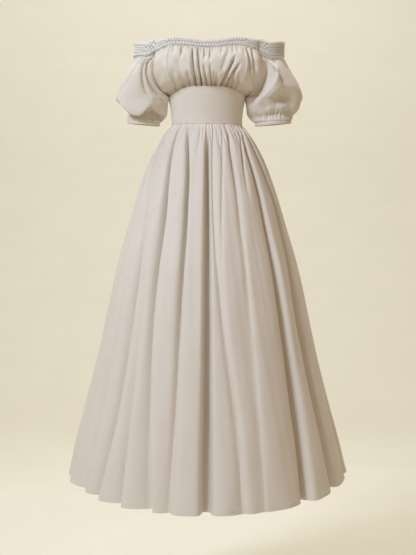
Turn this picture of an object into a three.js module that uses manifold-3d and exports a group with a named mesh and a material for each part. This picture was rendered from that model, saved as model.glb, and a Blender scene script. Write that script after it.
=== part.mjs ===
// Off-the-shoulder maxi dress with puff sleeves, as it hangs when worn, with nobody in it.
// Every panel is a thin wall of cloth with the cut, gathers and folds of the real garment.
// Millimetres, +Z up, the front faces -Y. Left and right are the wearer's, so left is +X.
// Heights in the tables are above the hem. The group lowers them, so that the origin is the
// middle of the neckline, where the elastic holds the dress on its wearer.

import * as THREE from "three";
import { mergeVertices } from "three/addons/utils/BufferGeometryUtils.js";
import Module from "manifold-3d";

const wasm = await Module();
wasm.setup();

// Driving sizes
const HELD_HEIGHT = 1322;
const WAIST_HEIGHT = 1100;
const HIP_HEIGHT = 930;
const UNDERARM_HEIGHT = 1177;
const SEAM_GAP = 0.3;
const BODICE_CLOTH = 1.6;
const SKIRT_CLOTH = 2.4;
const LACE_THICKNESS = 1.5;
const CUFF_THICKNESS = 2.2;

// The arm on the left is held out a little farther, as in the photograph.
const LEAN_FROM = 125;
const LEAN_SHARE = 0.057;

// Outline of the skirt: half width, and depth from the axis to the front and to the back.
const SKIRT_RINGS = [
  { height: 0, halfWidth: 432, front: 454, back: 440 },
  { height: 60, halfWidth: 419, front: 441, back: 427 },
  { height: 185, halfWidth: 390, front: 411, back: 397 },
  { height: 310, halfWidth: 359, front: 379, back: 366 },
  { height: 435, halfWidth: 330, front: 346, back: 336 },
  { height: 560, halfWidth: 302, front: 313, back: 306 },
  { height: 685, halfWidth: 272, front: 277, back: 275 },
  { height: 805, halfWidth: 237, front: 235, back: 240 },
  { height: 870, halfWidth: 219, front: 212, back: 220 },
  { height: 930, halfWidth: 199, front: 188, back: 199 },
  { height: 990, halfWidth: 175, front: 161, back: 172 },
  { height: 1022, halfWidth: 159, front: 144, back: 153 },
  { height: 1052, halfWidth: 142, front: 126, back: 132 },
  { height: 1068, halfWidth: 132, front: 115, back: 118 },
  { height: 1083, halfWidth: 121, front: 103, back: 103 },
  { height: 1094, halfWidth: 111, front: 94, back: 92 },
  { height: 1100, halfWidth: 108.5, front: 91, back: 88 },
];

// Fitted waist yoke.
const YOKE_RINGS = [
  { height: 1100, halfWidth: 107.3, front: 90, back: 87 },
  { height: 1115, halfWidth: 107.8, front: 90.5, back: 86 },
  { height: 1135, halfWidth: 109.5, front: 92, back: 86 },
  { height: 1160, halfWidth: 113.5, front: 95.5, back: 88 },
  { height: 1178, halfWidth: 117.6, front: 99, back: 90 },
  { height: 1210, halfWidth: 124, front: 104, back: 94 },
];

// The arched seam under the bust, by distance from the middle.
const UNDERBUST = [
  { x: 0, height: 1209.6 },
  { x: 45, height: 1209 },
  { x: 62, height: 1205.5 },
  { x: 85, height: 1197 },
  { x: 105, height: 1186 },
  { x: 117.6, height: UNDERARM_HEIGHT },
];

// Neckline lace: lower and upper edge, by distance from the middle.
const LACE_FRONT = [
  { x: 0, lower: 1325, upper: 1345 },
  { x: 30, lower: 1326.5, upper: 1347 },
  { x: 60, lower: 1330.5, upper: 1351.5 },
  { x: 90, lower: 1332, upper: 1354.5 },
  { x: 120, lower: 1328.5, upper: 1352.5 },
  { x: 149, lower: 1318, upper: 1346.5 },
  { x: 165, lower: 1307, upper: 1343 },
  { x: 180, lower: 1304.5, upper: 1342 },
  { x: 200, lower: 1304, upper: 1343.5 },
  { x: 229, lower: 1304.5, upper: 1349 },
];
const LACE_BACK = [
  { x: 0, lower: 1322, upper: 1345 },
  { x: 120, lower: 1321, upper: 1344.5 },
  { x: 149, lower: 1316, upper: 1343.5 },
  { x: 165, lower: 1307, upper: 1342.5 },
  { x: 180, lower: 1304.5, upper: 1342 },
  { x: 200, lower: 1304, upper: 1343.5 },
  { x: 229, lower: 1304.5, upper: 1349 },
];

// Puff sleeve, seen from above as part of an ellipse around the arm. seam is where the armhole seam
// lies, outer the far side, depth half the ellipse fore and aft, wrap the turn from the far side to the
// seam, and tilt how much higher the far side of the ring is than its middle.
const SLEEVE_RINGS = [
  { height: 1320, seam: 149, outer: 225.5, depth: 88, wrap: 77, tilt: 0 },
  { height: 1304, seam: 156, outer: 228, depth: 89, wrap: 79, tilt: 0 },
  { height: 1296, seam: 159, outer: 231.5, depth: 92, wrap: 92, tilt: 0 },
  { height: 1277, seam: 162, outer: 242, depth: 97, wrap: 115, tilt: 0 },
  { height: 1252, seam: 161, outer: 257, depth: 98, wrap: 127, tilt: 0 },
  { height: 1228, seam: 154, outer: 270, depth: 95, wrap: 139, tilt: 0 },
  { height: 1203, seam: 141, outer: 279.5, depth: 91, wrap: 153, tilt: 0 },
  { height: 1188, seam: 128, outer: 283, depth: 88, wrap: 166, tilt: 0 },
  { height: 1177, seam: 118.2, outer: 284.5, depth: 86, wrap: 180, tilt: 0 },
  { height: 1155, seam: 120.5, outer: 284.5, depth: 82, wrap: 180, tilt: 1 },
  { height: 1137, seam: 121.5, outer: 278, depth: 76, wrap: 180, tilt: 2 },
  { height: 1123, seam: 127, outer: 268, depth: 68, wrap: 180, tilt: 3 },
  { height: 1114, seam: 136, outer: 258, depth: 60, wrap: 180, tilt: 4 },
  { height: 1108, seam: 146, outer: 250, depth: 52, wrap: 180, tilt: 4.5 },
];
const SLEEVE_TOP = 1304;
const ARMHOLE_TOP = { front: 1318, back: 1316 };
const SLEEVE_ABOVE_UNDERARM = 0.62;
const CUFF_TOP = 1108;
const CUFF_BOTTOM = 1098;
const CUFF_REACH = 52;
const CUFF_MIDDLE = 198;
const CUFF_DEPTH = 52;

// Bust panel: distance of the middle of the front from the axis, from its top (0) to its bottom (1),
// and how square its plan is.
const BUST_SECTIONS = [
  { down: 0, front: 119, squareness: 2.5 },
  { down: 0.15, front: 132, squareness: 2.5 },
  { down: 0.35, front: 144, squareness: 2.45 },
  { down: 0.6, front: 147, squareness: 2.35 },
  { down: 0.8, front: 136, squareness: 2.2 },
  { down: 0.92, front: 119, squareness: 2.05 },
  { down: 1, front: 105, squareness: 2 },
];
const BACK_SECTIONS = [
  { down: 0, front: 99, squareness: 2.4 },
  { down: 0.25, front: 102, squareness: 2.4 },
  { down: 0.6, front: 101, squareness: 2.3 },
  { down: 0.85, front: 96, squareness: 2.1 },
  { down: 1, front: 90.5, squareness: 2 },
];
const PRINCESS_SEAM = { top: 0.455, bottom: 0.53 };

// Folds of the skirt: where each lies round the skirt in degrees from the front middle, at the waist,
// at the hip and at the hem, the width in degrees of its two sides, and its depth at the hip and hem.
const FRONT_FOLDS = [
  { waist: -84, hip: -77, hem: -79, left: 3.2, right: 2.4, deepHip: 7, deepHem: 20 },
  { waist: -72, hip: -63.5, hem: -61.5, left: 3.4, right: 2.2, deepHip: 9, deepHem: 32 },
  { waist: -50, hip: -38.5, hem: -41.5, left: 3.4, right: 2.6, deepHip: 5, deepHem: 33 },
  { waist: -43, hip: -33, hem: -24, left: 3, right: 1.7, deepHip: 21, deepHem: 24 },
  { waist: -29, hip: -14.8, hem: -13.5, left: 2.6, right: 1.9, deepHip: 23, deepHem: 19 },
  { waist: 0.5, hip: 0.2, hem: -1, left: 2.2, right: 3, deepHip: 36, deepHem: 38 },
  { waist: 16, hip: 9.4, hem: 12, left: 2.2, right: 3, deepHip: 9, deepHem: 7 },
  { waist: 31, hip: 23.7, hem: 24.8, left: 2.8, right: 2.4, deepHip: 12, deepHem: 9 },
  { waist: 54, hip: 48, hem: 40.5, left: 3.8, right: 2.2, deepHip: 22, deepHem: 46 },
  { waist: 73, hip: 67, hem: 60.5, left: 3.2, right: 2, deepHip: 24, deepHem: 40 },
];
const BACK_FOLDS = [
  { waist: 92, hip: 97, hem: 101, left: 2.2, right: 3.4, deepHip: 13, deepHem: 36 },
  { waist: 114, hip: 114, hem: 118.5, left: 3.2, right: 2.2, deepHip: 14, deepHem: 32 },
  { waist: 134, hip: 130, hem: 133, left: 2.2, right: 2.8, deepHip: 15, deepHem: 20 },
  { waist: 151, hip: 150, hem: 151.5, left: 2.2, right: 3.4, deepHip: 17, deepHem: 38 },
  { waist: 166, hip: 165, hem: 168, left: 2.2, right: 2.2, deepHip: 10, deepHem: 18 },
  { waist: 183, hip: 182, hem: 184.5, left: 3.2, right: 2.2, deepHip: 24, deepHem: 37 },
  { waist: 201, hip: 200, hem: 197.5, left: 2.4, right: 2.2, deepHip: 11, deepHem: 16 },
  { waist: 217, hip: 214, hem: 217.5, left: 3.2, right: 2.2, deepHip: 18, deepHem: 38 },
  { waist: 236, hip: 236, hem: 234, left: 2.2, right: 2.8, deepHip: 12, deepHem: 24 },
  { waist: 255, hip: 252, hem: 257.5, left: 3.2, right: 2.2, deepHip: 15, deepHem: 36 },
];
const FOLD_DEPTH_AT_WAIST = 1.5;

// How much higher the hem hangs at a turn than at the height 0.
const HEM_LIFT = [
  { turn: -90, lift: 20 },
  { turn: -68, lift: 14 },
  { turn: -48, lift: 3 },
  { turn: 0, lift: -5 },
  { turn: 40, lift: 2 },
  { turn: 62, lift: 14 },
  { turn: 78, lift: 28 },
  { turn: 90, lift: 34 },
  { turn: 130, lift: 18 },
  { turn: 180, lift: 4 },
  { turn: 235, lift: 12 },
  { turn: 270, lift: 20 },
];
const HEM_LIFT_FROM = 500;

// Small gathers under the waist seam: how many there are, their depth, and how far down they fade.
const WAIST_GATHERS = 48;
const WAIST_GATHER_DEPTH = 4.4;
const WAIST_GATHER_DEPTH_AT_SEAM = 2.6;
const WAIST_GATHER_FADE = { shortest: 60, longest: 190 };

// Gathers and folds of the bust: place across at the top and at the bottom of the panel, depth and
// width, and the stretch of the panel's height where each shows.
const BUST_FOLDS = [
  { top: -142, bottom: -112, deep: 3.5, wide: 7, from: 0, to: 0.75 },
  { top: -124, bottom: -104, deep: 3.5, wide: 6, from: 0, to: 0.5 },
  { top: -101, bottom: -84, deep: 3.5, wide: 6, from: 0.45, to: 1 },
  { top: -92, bottom: -92, deep: 3, wide: 5, from: 0, to: 0.4 },
  { top: -69, bottom: -74, deep: 5, wide: 5, from: 0, to: 0.7 },
  { top: -28, bottom: -59, deep: 7, wide: 7, from: 0.5, to: 1 },
  { top: -42, bottom: -32, deep: 8, wide: 5, from: 0, to: 1 },
  { top: -24, bottom: -14, deep: 7, wide: 4.5, from: 0, to: 1 },
  { top: -7, bottom: -6, deep: 5, wide: 4.5, from: 0, to: 1 },
  { top: 11, bottom: 6, deep: 5, wide: 4.5, from: 0, to: 1 },
  { top: 26, bottom: 17, deep: 4, wide: 4.5, from: 0.6, to: 1 },
  { top: 30, bottom: 27, deep: 3, wide: 4.5, from: 0, to: 0.3 },
  { top: 56, bottom: 30, deep: 5, wide: 8, from: 0, to: 0.75 },
  { top: 90, bottom: 48, deep: 8, wide: 5.5, from: 0.15, to: 1 },
  { top: 118, bottom: 61, deep: 6, wide: 5, from: 0.4, to: 1 },
  { top: 74, bottom: 73, deep: 4, wide: 4.5, from: 0.7, to: 1 },
  { top: 100, bottom: 84, deep: 4, wide: 5, from: 0.65, to: 1 },
  { top: 76, bottom: 80, deep: 3, wide: 4.5, from: 0, to: 0.3 },
  { top: 99, bottom: 99, deep: 3, wide: 4.5, from: 0, to: 0.3 },
  { top: 126, bottom: 112, deep: 4, wide: 5, from: 0, to: 0.5 },
  { top: 142, bottom: 112, deep: 4.5, wide: 7, from: 0, to: 0.9 },
];
const BACK_GATHERS = 14;
const BACK_GATHER_DEPTH = 3.5;
const ZIP_CLEAR_WIDTH = 12;

// Folds of a sleeve: the turn from its far side towards the front (negative) or the back, at the top
// and at the bottom of the stretch from..to of its length, with depth and width in millimetres.
const SLEEVE_FOLDS = [
  { top: -66, bottom: -74, deep: 5, wide: 8, from: 0, to: 0.5 },
  { top: -50, bottom: -62, deep: 6, wide: 8, from: 0, to: 0.62 },
  { top: -30, bottom: -36, deep: 8, wide: 9, from: 0, to: 0.6 },
  { top: -10, bottom: -2, deep: 5, wide: 8, from: 0, to: 0.45 },
  { top: 12, bottom: 18, deep: 6, wide: 9, from: 0, to: 0.55 },
  { top: 32, bottom: 44, deep: 7, wide: 9, from: 0, to: 0.6 },
  { top: 54, bottom: 70, deep: 6, wide: 8, from: 0, to: 0.55 },
  { top: -128, bottom: -150, deep: 6, wide: 12, from: 0.35, to: 0.8 },
  { top: 128, bottom: 150, deep: 6, wide: 12, from: 0.35, to: 0.8 },
];
const CUFF_GATHERS = 14;
const CUFF_GATHER_DEPTH = 6;
const CUFF_GATHER_DEPTH_AT_CUFF = 1.2;

const SCALLOPS = 60;
const SCALLOP_HEIGHT = 3;
const COLUMNS_IN_SCALLOP = 2;

// Zip in the centre back seam: its slider with a pin, and the tab that swings on the pin.
const ZIP_PIN_HEIGHT = 1311;
const ZIP_PIN_OUT = 7;
const ZIP_PIN_RADIUS = 0.8;
const ZIP_EYE_RADIUS = 1.25;
const ZIP_EYE_OUTER = 2.1;
const ZIP_TAB = { width: 3.2, thick: 1, long: 20 };
const ZIP_SLIDER = { width: 7, tall: 9, deep: 2.4, ear: 1.2 };

// Rows of points down the bodice, and columns across its panels.
const BODICE_ROWS = [0, 0.1, 0.25, 0.42, 0.6, 0.78, 0.9, 1];
const CENTRE_COLUMNS = 54;
const SIDE_COLUMNS = 13;
const BACK_COLUMNS = 28;

// Maths
const degrees = (angle) => (angle * Math.PI) / 180;
const mix = (a, b, share) => a + (b - a) * share;
const clamp01 = (t) => Math.min(1, Math.max(0, t));

function smooth(t) {
  const s = clamp01(t);
  return s * s * (3 - 2 * s);
}

// Smooth curve through one column of a table, without overshoot.
function curve(table, argument, value, at) {
  const last = table.length - 1;
  const rising = table[last][argument] > table[0][argument];
  const row = (i) => table[rising ? i : last - i];
  const t = Math.min(row(last)[argument], Math.max(row(0)[argument], at));
  let i = 0;
  while (i < last - 1 && row(i + 1)[argument] < t) i += 1;
  const step = (k) => row(k + 1)[argument] - row(k)[argument];
  const slope = (k) => (row(k + 1)[value] - row(k)[value]) / step(k);
  const tangent = (k) => {
    if (k === 0) return slope(0);
    if (k === last) return slope(last - 1);
    const a = slope(k - 1);
    const b = slope(k);
    if (a * b <= 0) return 0;
    return Math.sign(a) * Math.min(Math.abs(a + b) / 2, 3 * Math.abs(a), 3 * Math.abs(b));
  };
  const h = step(i);
  const s = (t - row(i)[argument]) / h;
  const s2 = s * s;
  const s3 = s2 * s;
  return (
    row(i)[value] * (2 * s3 - 3 * s2 + 1) +
    tangent(i) * h * (s3 - 2 * s2 + s) +
    row(i + 1)[value] * (3 * s2 - 2 * s3) +
    tangent(i + 1) * h * (s3 - s2)
  );
}

const trough = (distance, wide) => 1 / Math.cosh(distance / wide);

// 1 between from and to, fading at an end that isn't at the edge of the panel.
function showing(fold, down) {
  const start = fold.from === 0 ? 1 : smooth((down - fold.from) / 0.22);
  const end = fold.to === 1 ? 1 : smooth((fold.to - down) / 0.25);
  return start * end;
}

const lean = (x) => x + LEAN_SHARE * Math.max(0, Math.abs(x) - LEAN_FROM);

// Evenly spaced numbers from a to b.
const spread = (a, b, count) => Array.from({ length: count + 1 }, (_, i) => mix(a, b, i / count));

// Triangles between two rows of points that may differ in number, by their place across.
function join(faces, upper, lower) {
  let i = 0;
  let j = 0;
  while (i < upper.length - 1 || j < lower.length - 1) {
    const nextUpper = i < upper.length - 1 ? upper[i + 1].across : Infinity;
    const nextLower = j < lower.length - 1 ? lower[j + 1].across : Infinity;
    if (nextUpper <= nextLower) {
      faces.push([upper[i].id, lower[j].id, upper[i + 1].id]);
      i += 1;
    } else {
      faces.push([upper[i].id, lower[j].id, lower[j + 1].id]);
      j += 1;
    }
  }
}

// A wall of cloth. place(across, down, under) gives the point of the cloth that far under its outer
// face. rows lists the values of down, and at each the values of across where the wall has points.
function clothWall(name, place, rows, thickness, colour, { openBottom, sidePull } = {}) {
  const points = [];
  const faces = [];
  const lastRow = rows.length - 1;
  const add = (row, k, under) => {
    const across = row.across[k];
    const point = place(across, row.down, under);
    const towards = (otherAcross, otherDown, pull = SEAM_GAP / 2) => {
      const way = place(otherAcross, otherDown, under).sub(place(across, row.down, under));
      point.addScaledVector(way.normalize(), pull);
    };
    const inward = (a, b) => mix(a, b, 0.05);
    if (k === 0) towards(inward(across, row.across[1]), row.down, sidePull);
    if (k === row.across.length - 1) towards(inward(across, row.across[k - 1]), row.down, sidePull);
    if (row === rows[0]) towards(across, inward(row.down, rows[1].down));
    if (row === rows[lastRow] && !openBottom) {
      towards(across, inward(row.down, rows[lastRow - 1].down));
    }
    points.push(point);
    return { across, id: points.length - 1 };
  };
  const outer = rows.map((row) => row.across.map((_, k) => add(row, k, 0)));
  const inner = rows.map((row) => row.across.map((_, k) => add(row, k, thickness)));
  const turned = [];
  for (let r = 0; r < lastRow; r += 1) {
    join(faces, outer[r], outer[r + 1]);
    join(turned, inner[r], inner[r + 1]);
    faces.push([outer[r][0].id, inner[r][0].id, outer[r + 1][0].id]);
    faces.push([inner[r][0].id, inner[r + 1][0].id, outer[r + 1][0].id]);
    const a = outer[r].at(-1).id;
    const b = inner[r].at(-1).id;
    const c = outer[r + 1].at(-1).id;
    const d = inner[r + 1].at(-1).id;
    faces.push([a, c, b], [b, c, d]);
  }
  for (const [a, b, c] of turned) faces.push([a, c, b]);
  join(faces, inner[0], outer[0]);
  join(faces, outer[lastRow], inner[lastRow]);
  return solid(name, points, faces, colour);
}

// A mesh with its faces turned outwards.
function solid(name, points, faces, colour) {
  let volume = 0;
  for (const [a, b, c] of faces) {
    volume += points[a].dot(points[b].clone().cross(points[c]));
  }
  const index = faces.flatMap(([a, b, c]) => (volume > 0 ? [a, b, c] : [a, c, b]));
  const geometry = new THREE.BufferGeometry();
  geometry.setAttribute(
    "position",
    new THREE.Float32BufferAttribute(points.flatMap((p) => [p.x, p.y, p.z]), 3),
  );
  geometry.setIndex(index);
  geometry.computeVertexNormals();
  return meshOf(name, geometry, colour);
}

function meshOf(name, geometry, colour) {
  const material = new THREE.MeshStandardMaterial(colour);
  const mesh = new THREE.Mesh(geometry, material);
  mesh.name = name;
  return mesh;
}

const IVORY = { color: 0xe6dfd6, roughness: 0.85, metalness: 0 };
const LACE_WHITE = { color: 0xf0eeea, roughness: 0.9, metalness: 0 };
const ZIP_METAL = { color: 0xd8cfc0, roughness: 0.35, metalness: 0.8 };

// A surface whose cloth lies under its smooth base along the base's own normal. drape is how far in
// the cloth's outer face lies.
function drapedPlace(base, drape, outward) {
  const tiny = 1e-3;
  return (across, down, under) => {
    const point = base(across, down);
    const a0 = Math.max(-1, across - tiny);
    const a1 = Math.min(1, across + tiny);
    const alongAcross = base(a1, down).sub(base(a0, down));
    const d0 = Math.max(0, down - tiny);
    const d1 = Math.min(1, down + tiny);
    const alongDown = base(across, d1).sub(base(across, d0));
    const normal = alongAcross.cross(alongDown).normalize().multiplyScalar(outward);
    return point.addScaledVector(normal, -(drape(across, down) + under));
  };
}

// Skirt
function ringPoint(rings, turn, height) {
  const halfWidth = curve(rings, "height", "halfWidth", height);
  const depth = curve(rings, "height", Math.cos(turn) > 0 ? "front" : "back", height);
  return new THREE.Vector3(halfWidth * Math.sin(turn), -depth * Math.cos(turn), height);
}

function ringNormal(rings, turn, height) {
  const halfWidth = curve(rings, "height", "halfWidth", height);
  const depth = curve(rings, "height", Math.cos(turn) > 0 ? "front" : "back", height);
  return new THREE.Vector3(Math.sin(turn) / halfWidth, -Math.cos(turn) / depth, 0).normalize();
}

// Where a fold lies at a height, in degrees.
function foldTurn(fold, height) {
  if (height > HIP_HEIGHT) {
    return mix(fold.hip, fold.waist, smooth((height - HIP_HEIGHT) / (WAIST_HEIGHT - HIP_HEIGHT)));
  }
  return mix(fold.hem, fold.hip, height / HIP_HEIGHT);
}

function foldDepth(fold, height) {
  if (height > HIP_HEIGHT) {
    const up = (height - HIP_HEIGHT) / (WAIST_HEIGHT - HIP_HEIGHT);
    return mix(fold.deepHip, FOLD_DEPTH_AT_WAIST, smooth(up));
  }
  return mix(fold.deepHem, fold.deepHip, height / HIP_HEIGHT);
}

// Difference of two turns in degrees, the short way round.
const apart = (a, b) => ((((a - b + 180) % 360) + 360) % 360) - 180;

function skirtDrape(turnDegrees, height) {
  let depth = 0;
  for (const fold of [...FRONT_FOLDS, ...BACK_FOLDS]) {
    const away = apart(turnDegrees, foldTurn(fold, height));
    depth += foldDepth(fold, height) * trough(away, away < 0 ? fold.left : fold.right);
  }
  return depth + waistGather(turnDegrees, height);
}

// One small gather in each share of the waist, each fading out at its own height.
function waistGather(turnDegrees, height) {
  const pitch = 360 / WAIST_GATHERS;
  const below = WAIST_HEIGHT - height;
  const phase = (turnDegrees + 360) / pitch;
  const number = Math.round(phase) % WAIST_GATHERS;
  const chance = 0.5 + 0.5 * Math.sin(number * 2.4);
  const fade = mix(WAIST_GATHER_FADE.shortest, WAIST_GATHER_FADE.longest, chance);
  const grown = mix(WAIST_GATHER_DEPTH_AT_SEAM, WAIST_GATHER_DEPTH, smooth(below / 25));
  const depth = grown * (1 - smooth((below - 15) / fade));
  return depth * (0.5 + 0.5 * Math.cos(2 * Math.PI * phase));
}

function skirtPlace(turnDegrees, height, under) {
  const turn = degrees(turnDegrees);
  const inward = skirtDrape(turnDegrees, height) + under;
  const point = ringPoint(SKIRT_RINGS, turn, height).addScaledVector(
    ringNormal(SKIRT_RINGS, turn, height),
    -inward,
  );
  const low = clamp01(1 - height / HEM_LIFT_FROM);
  point.z += curve(HEM_LIFT, "turn", "lift", turnDegrees) * low * low;
  return point;
}

const GATHERED_ROWS = [1100, 1086, 1062, 1028];
const FLUTED_ROWS = [980, 905, 810, 690, 550, 380, 200, 0];
const COLUMNS_IN_GATHER = 3;
// Where a fluted row has its points on the two sides of a fold, in widths of that side.
const FOLD_SLOPE = 0.85;
const FOLD_FOOT = 2;
const CLEAR_OF_SEAM = 1.2;

// The turns where a fluted row has points: in each fold, on its slopes and on the ridges between.
function flutedTurns(from, to, height) {
  const turns = [from, to];
  const folds = [...FRONT_FOLDS, ...BACK_FOLDS].map((fold) => ({
    at: foldTurn(fold, height),
    left: fold.left,
    right: fold.right,
  }));
  folds.forEach((fold, i) => {
    const next = folds[(i + 1) % folds.length];
    const nextAt = next.at < fold.at ? next.at + 360 : next.at;
    const foot = fold.at + fold.right * FOLD_FOOT;
    const nextFoot = nextAt - next.left * FOLD_FOOT;
    for (const k of [FOLD_SLOPE, FOLD_FOOT]) turns.push(fold.at - fold.left * k, fold.at + fold.right * k);
    turns.push(fold.at);
    turns.push((foot + nextFoot) / 2);
  });
  const inside = turns
    .map((turn) => from + ((((turn - from) % 360) + 360) % 360))
    .filter((turn) => turn > from + CLEAR_OF_SEAM && turn < to - CLEAR_OF_SEAM);
  return [from, ...inside.sort((a, b) => a - b), to];
}

function skirtPanel(name, from, to) {
  const gathers = ((to - from) / 360) * WAIST_GATHERS;
  const fine = spread(from, to, gathers * COLUMNS_IN_GATHER);
  const rows = [
    ...GATHERED_ROWS.map((down) => ({ down, across: fine })),
    ...FLUTED_ROWS.map((down) => ({ down, across: flutedTurns(from, to, down) })),
  ];
  return clothWall(name, skirtPlace, rows, SKIRT_CLOTH, IVORY, { openBottom: true });
}

// Waist yoke. down runs from its top edge (0) to the waist seam (1).
const yokeTopFront = (x) => curve(UNDERBUST, "x", "height", Math.abs(x));
const YOKE_TOP_BACK = 1180;
const YOKE_TOP_REACH = 117.6;

function yokeTop(turnDegrees) {
  const turn = degrees(turnDegrees);
  const x = YOKE_TOP_REACH * Math.sin(turn);
  if (Math.cos(turn) > 0) return yokeTopFront(x);
  return mix(UNDERARM_HEIGHT, YOKE_TOP_BACK, smooth(-Math.cos(turn) * 1.5));
}

function yokePlace(turnDegrees, down, under) {
  const turn = degrees(turnDegrees);
  const height = mix(yokeTop(turnDegrees), WAIST_HEIGHT, down);
  const point = ringPoint(YOKE_RINGS, turn, height);
  return point.addScaledVector(ringNormal(YOKE_RINGS, turn, height), -under);
}

// The top edge has a point for each point of the bodice that is sewn to it.
function yokePanel(name, topTurns, columns) {
  const across = spread(topTurns[0], topTurns.at(-1), columns);
  const rows = [{ down: 0, across: topTurns }];
  for (const down of [0.25, 0.5, 0.75, 1]) rows.push({ down, across });
  return clothWall(name, yokePlace, rows, BODICE_CLOTH, IVORY);
}

// Armhole seam and sleeve
const sleeveRing = (height, column) => curve(SLEEVE_RINGS, "height", column, height);

// A point of the sleeve ring at a height. turn is 0 on the far side of the arm and negative in front.
function sleeveRingPoint(turn, height) {
  const wrap = degrees(sleeveRing(height, "wrap"));
  const seam = sleeveRing(height, "seam");
  const outer = sleeveRing(height, "outer");
  const middle = (seam - outer * Math.cos(wrap)) / (1 - Math.cos(wrap));
  const depth = sleeveRing(height, "depth");
  return new THREE.Vector3(
    middle + (outer - middle) * Math.cos(turn),
    depth * Math.sin(turn),
    height,
  );
}

const laceEdge = (x, front, edge) => curve(front ? LACE_FRONT : LACE_BACK, "x", edge, Math.abs(x));

// How high the ring of the sleeve is at a place down its length, above the underarm or below it.
function sleeveRingHeight(down, top) {
  if (down < SLEEVE_ABOVE_UNDERARM) return mix(top, UNDERARM_HEIGHT, down / SLEEVE_ABOVE_UNDERARM);
  const below = (down - SLEEVE_ABOVE_UNDERARM) / (1 - SLEEVE_ABOVE_UNDERARM);
  return mix(UNDERARM_HEIGHT, CUFF_TOP, below);
}

// down runs from the lace (0) to the cuff (1), across from the front seam (-1) to the back seam (1).
function sleeveBase(across, down) {
  const seamTop = across < 0 ? ARMHOLE_TOP.front : ARMHOLE_TOP.back;
  const top = mix(SLEEVE_TOP, seamTop, smooth((Math.abs(across) - 0.75) / 0.25));
  const height = sleeveRingHeight(down, top);
  const point = sleeveRingPoint(across * degrees(sleeveRing(height, "wrap")), height);
  point.z = height + sleeveRing(height, "tilt") * Math.cos(across * Math.PI);
  return point;
}

function sleeveDrape(across, down) {
  const height = sleeveRingHeight(down, SLEEVE_TOP);
  const wrap = sleeveRing(height, "wrap");
  const turn = across * wrap;
  const reach = (sleeveRing(height, "outer") - sleeveRing(height, "seam")) / 2;
  const girth = degrees(1) * mix(reach, sleeveRing(height, "depth"), 0.5);
  let depth = 0;
  for (const fold of SLEEVE_FOLDS) {
    const share = clamp01((down - fold.from) / (fold.to - fold.from));
    const away = (turn - mix(fold.top, fold.bottom, share)) * girth;
    depth += fold.deep * trough(away, fold.wide / 2) * showing(fold, down);
  }
  const gathered =
    CUFF_GATHER_DEPTH * smooth((down - 0.8) / 0.14) -
    (CUFF_GATHER_DEPTH - CUFF_GATHER_DEPTH_AT_CUFF) * smooth((down - 0.95) / 0.05);
  const cuffWave = 0.5 + 0.5 * Math.cos(degrees(turn) * CUFF_GATHERS);
  const atSeam = smooth((1 - Math.abs(across)) / 0.05);
  return (depth + gathered * cuffWave) * atSeam;
}

// Puts a point made for the left arm on its side of the body.
function onSide(point, side) {
  point.x = lean(point.x * side);
  return point;
}

const SLEEVE_ROWS = [
  ...BODICE_ROWS.map((down) => down * SLEEVE_ABOVE_UNDERARM),
  ...[0.32, 0.58, 0.78, 0.91, 1].map((below) => mix(SLEEVE_ABOVE_UNDERARM, 1, below)),
];
const SLEEVE_COLUMNS = 28;

function sleeve(name, side) {
  const place = drapedPlace(sleeveBase, sleeveDrape, -1);
  const across = spread(-1, 1, SLEEVE_COLUMNS);
  const rows = SLEEVE_ROWS.map((down) => ({ down, across }));
  const sided = (a, down, under) => onSide(place(a, down, under), side);
  return clothWall(name, sided, rows, BODICE_CLOTH, IVORY, { sidePull: SEAM_GAP });
}

function cuff(name, side) {
  const place = (across, down, under) => {
    const turn = across * Math.PI;
    const reach = CUFF_REACH - under;
    const height = mix(CUFF_TOP, CUFF_BOTTOM, down) + 4.5 * Math.cos(turn);
    const point = new THREE.Vector3(
      CUFF_MIDDLE + reach * Math.cos(turn),
      (CUFF_DEPTH - under) * Math.sin(turn),
      height,
    );
    return onSide(point, side);
  };
  const across = spread(-1, 1, SLEEVE_COLUMNS);
  const rows = [0, 1].map((down) => ({ down, across }));
  return clothWall(name, place, rows, CUFF_THICKNESS, IVORY);
}

// Bodice. across runs from the armhole seam on the right (-1) to the one on the left (1), and down
// from the lace (0) to the yoke (1).
function bodiceBase(across, down, front) {
  const sections = front ? BUST_SECTIONS : BACK_SECTIONS;
  const square = 2 / curve(sections, "down", "squareness", down);
  const turn = across * (Math.PI / 2);
  const sideways = Math.sign(turn) * Math.abs(Math.sin(turn)) ** square;
  const forward = Math.max(0, Math.cos(turn)) ** square;
  const armholeTop = front ? ARMHOLE_TOP.front : ARMHOLE_TOP.back;
  const seamHeight = mix(armholeTop, UNDERARM_HEIGHT, down);
  const seam = sleeveRingPoint(degrees(sleeveRing(seamHeight, "wrap")), seamHeight);
  const middle = curve(sections, "down", "front", down);
  const onYoke = yokePlace(front ? across * 90 : 180 - across * 90, 0, 0);
  const joined = smooth((down - 0.8) / 0.2);
  const x = seam.x * sideways;
  const y = (seam.y + (middle - seam.y) * forward) * (front ? -1 : 1);
  return new THREE.Vector3(
    lean(mix(x, onYoke.x, joined)),
    mix(y, onYoke.y, joined),
    mix(laceEdge(x, front, "lower"), onYoke.z, down),
  );
}

function bustDrape(across, down) {
  const x = bodiceBase(across, down, true).x;
  let depth = 0;
  for (const fold of BUST_FOLDS) {
    const away = x - mix(fold.top, fold.bottom, down);
    depth += fold.deep * trough(away, fold.wide / 2) * showing(fold, down);
  }
  const pouch = mix(0.45, 1, smooth(down / 0.15)) * mix(1, 0.5, smooth((down - 0.85) / 0.15));
  const princess = mix(PRINCESS_SEAM.top, PRINCESS_SEAM.bottom, down);
  const atSeam = smooth(Math.abs(Math.abs(across) - princess) / 0.03);
  const atArmhole = smooth((1 - Math.abs(across)) / 0.06);
  return depth * pouch * atSeam * atArmhole;
}

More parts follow.
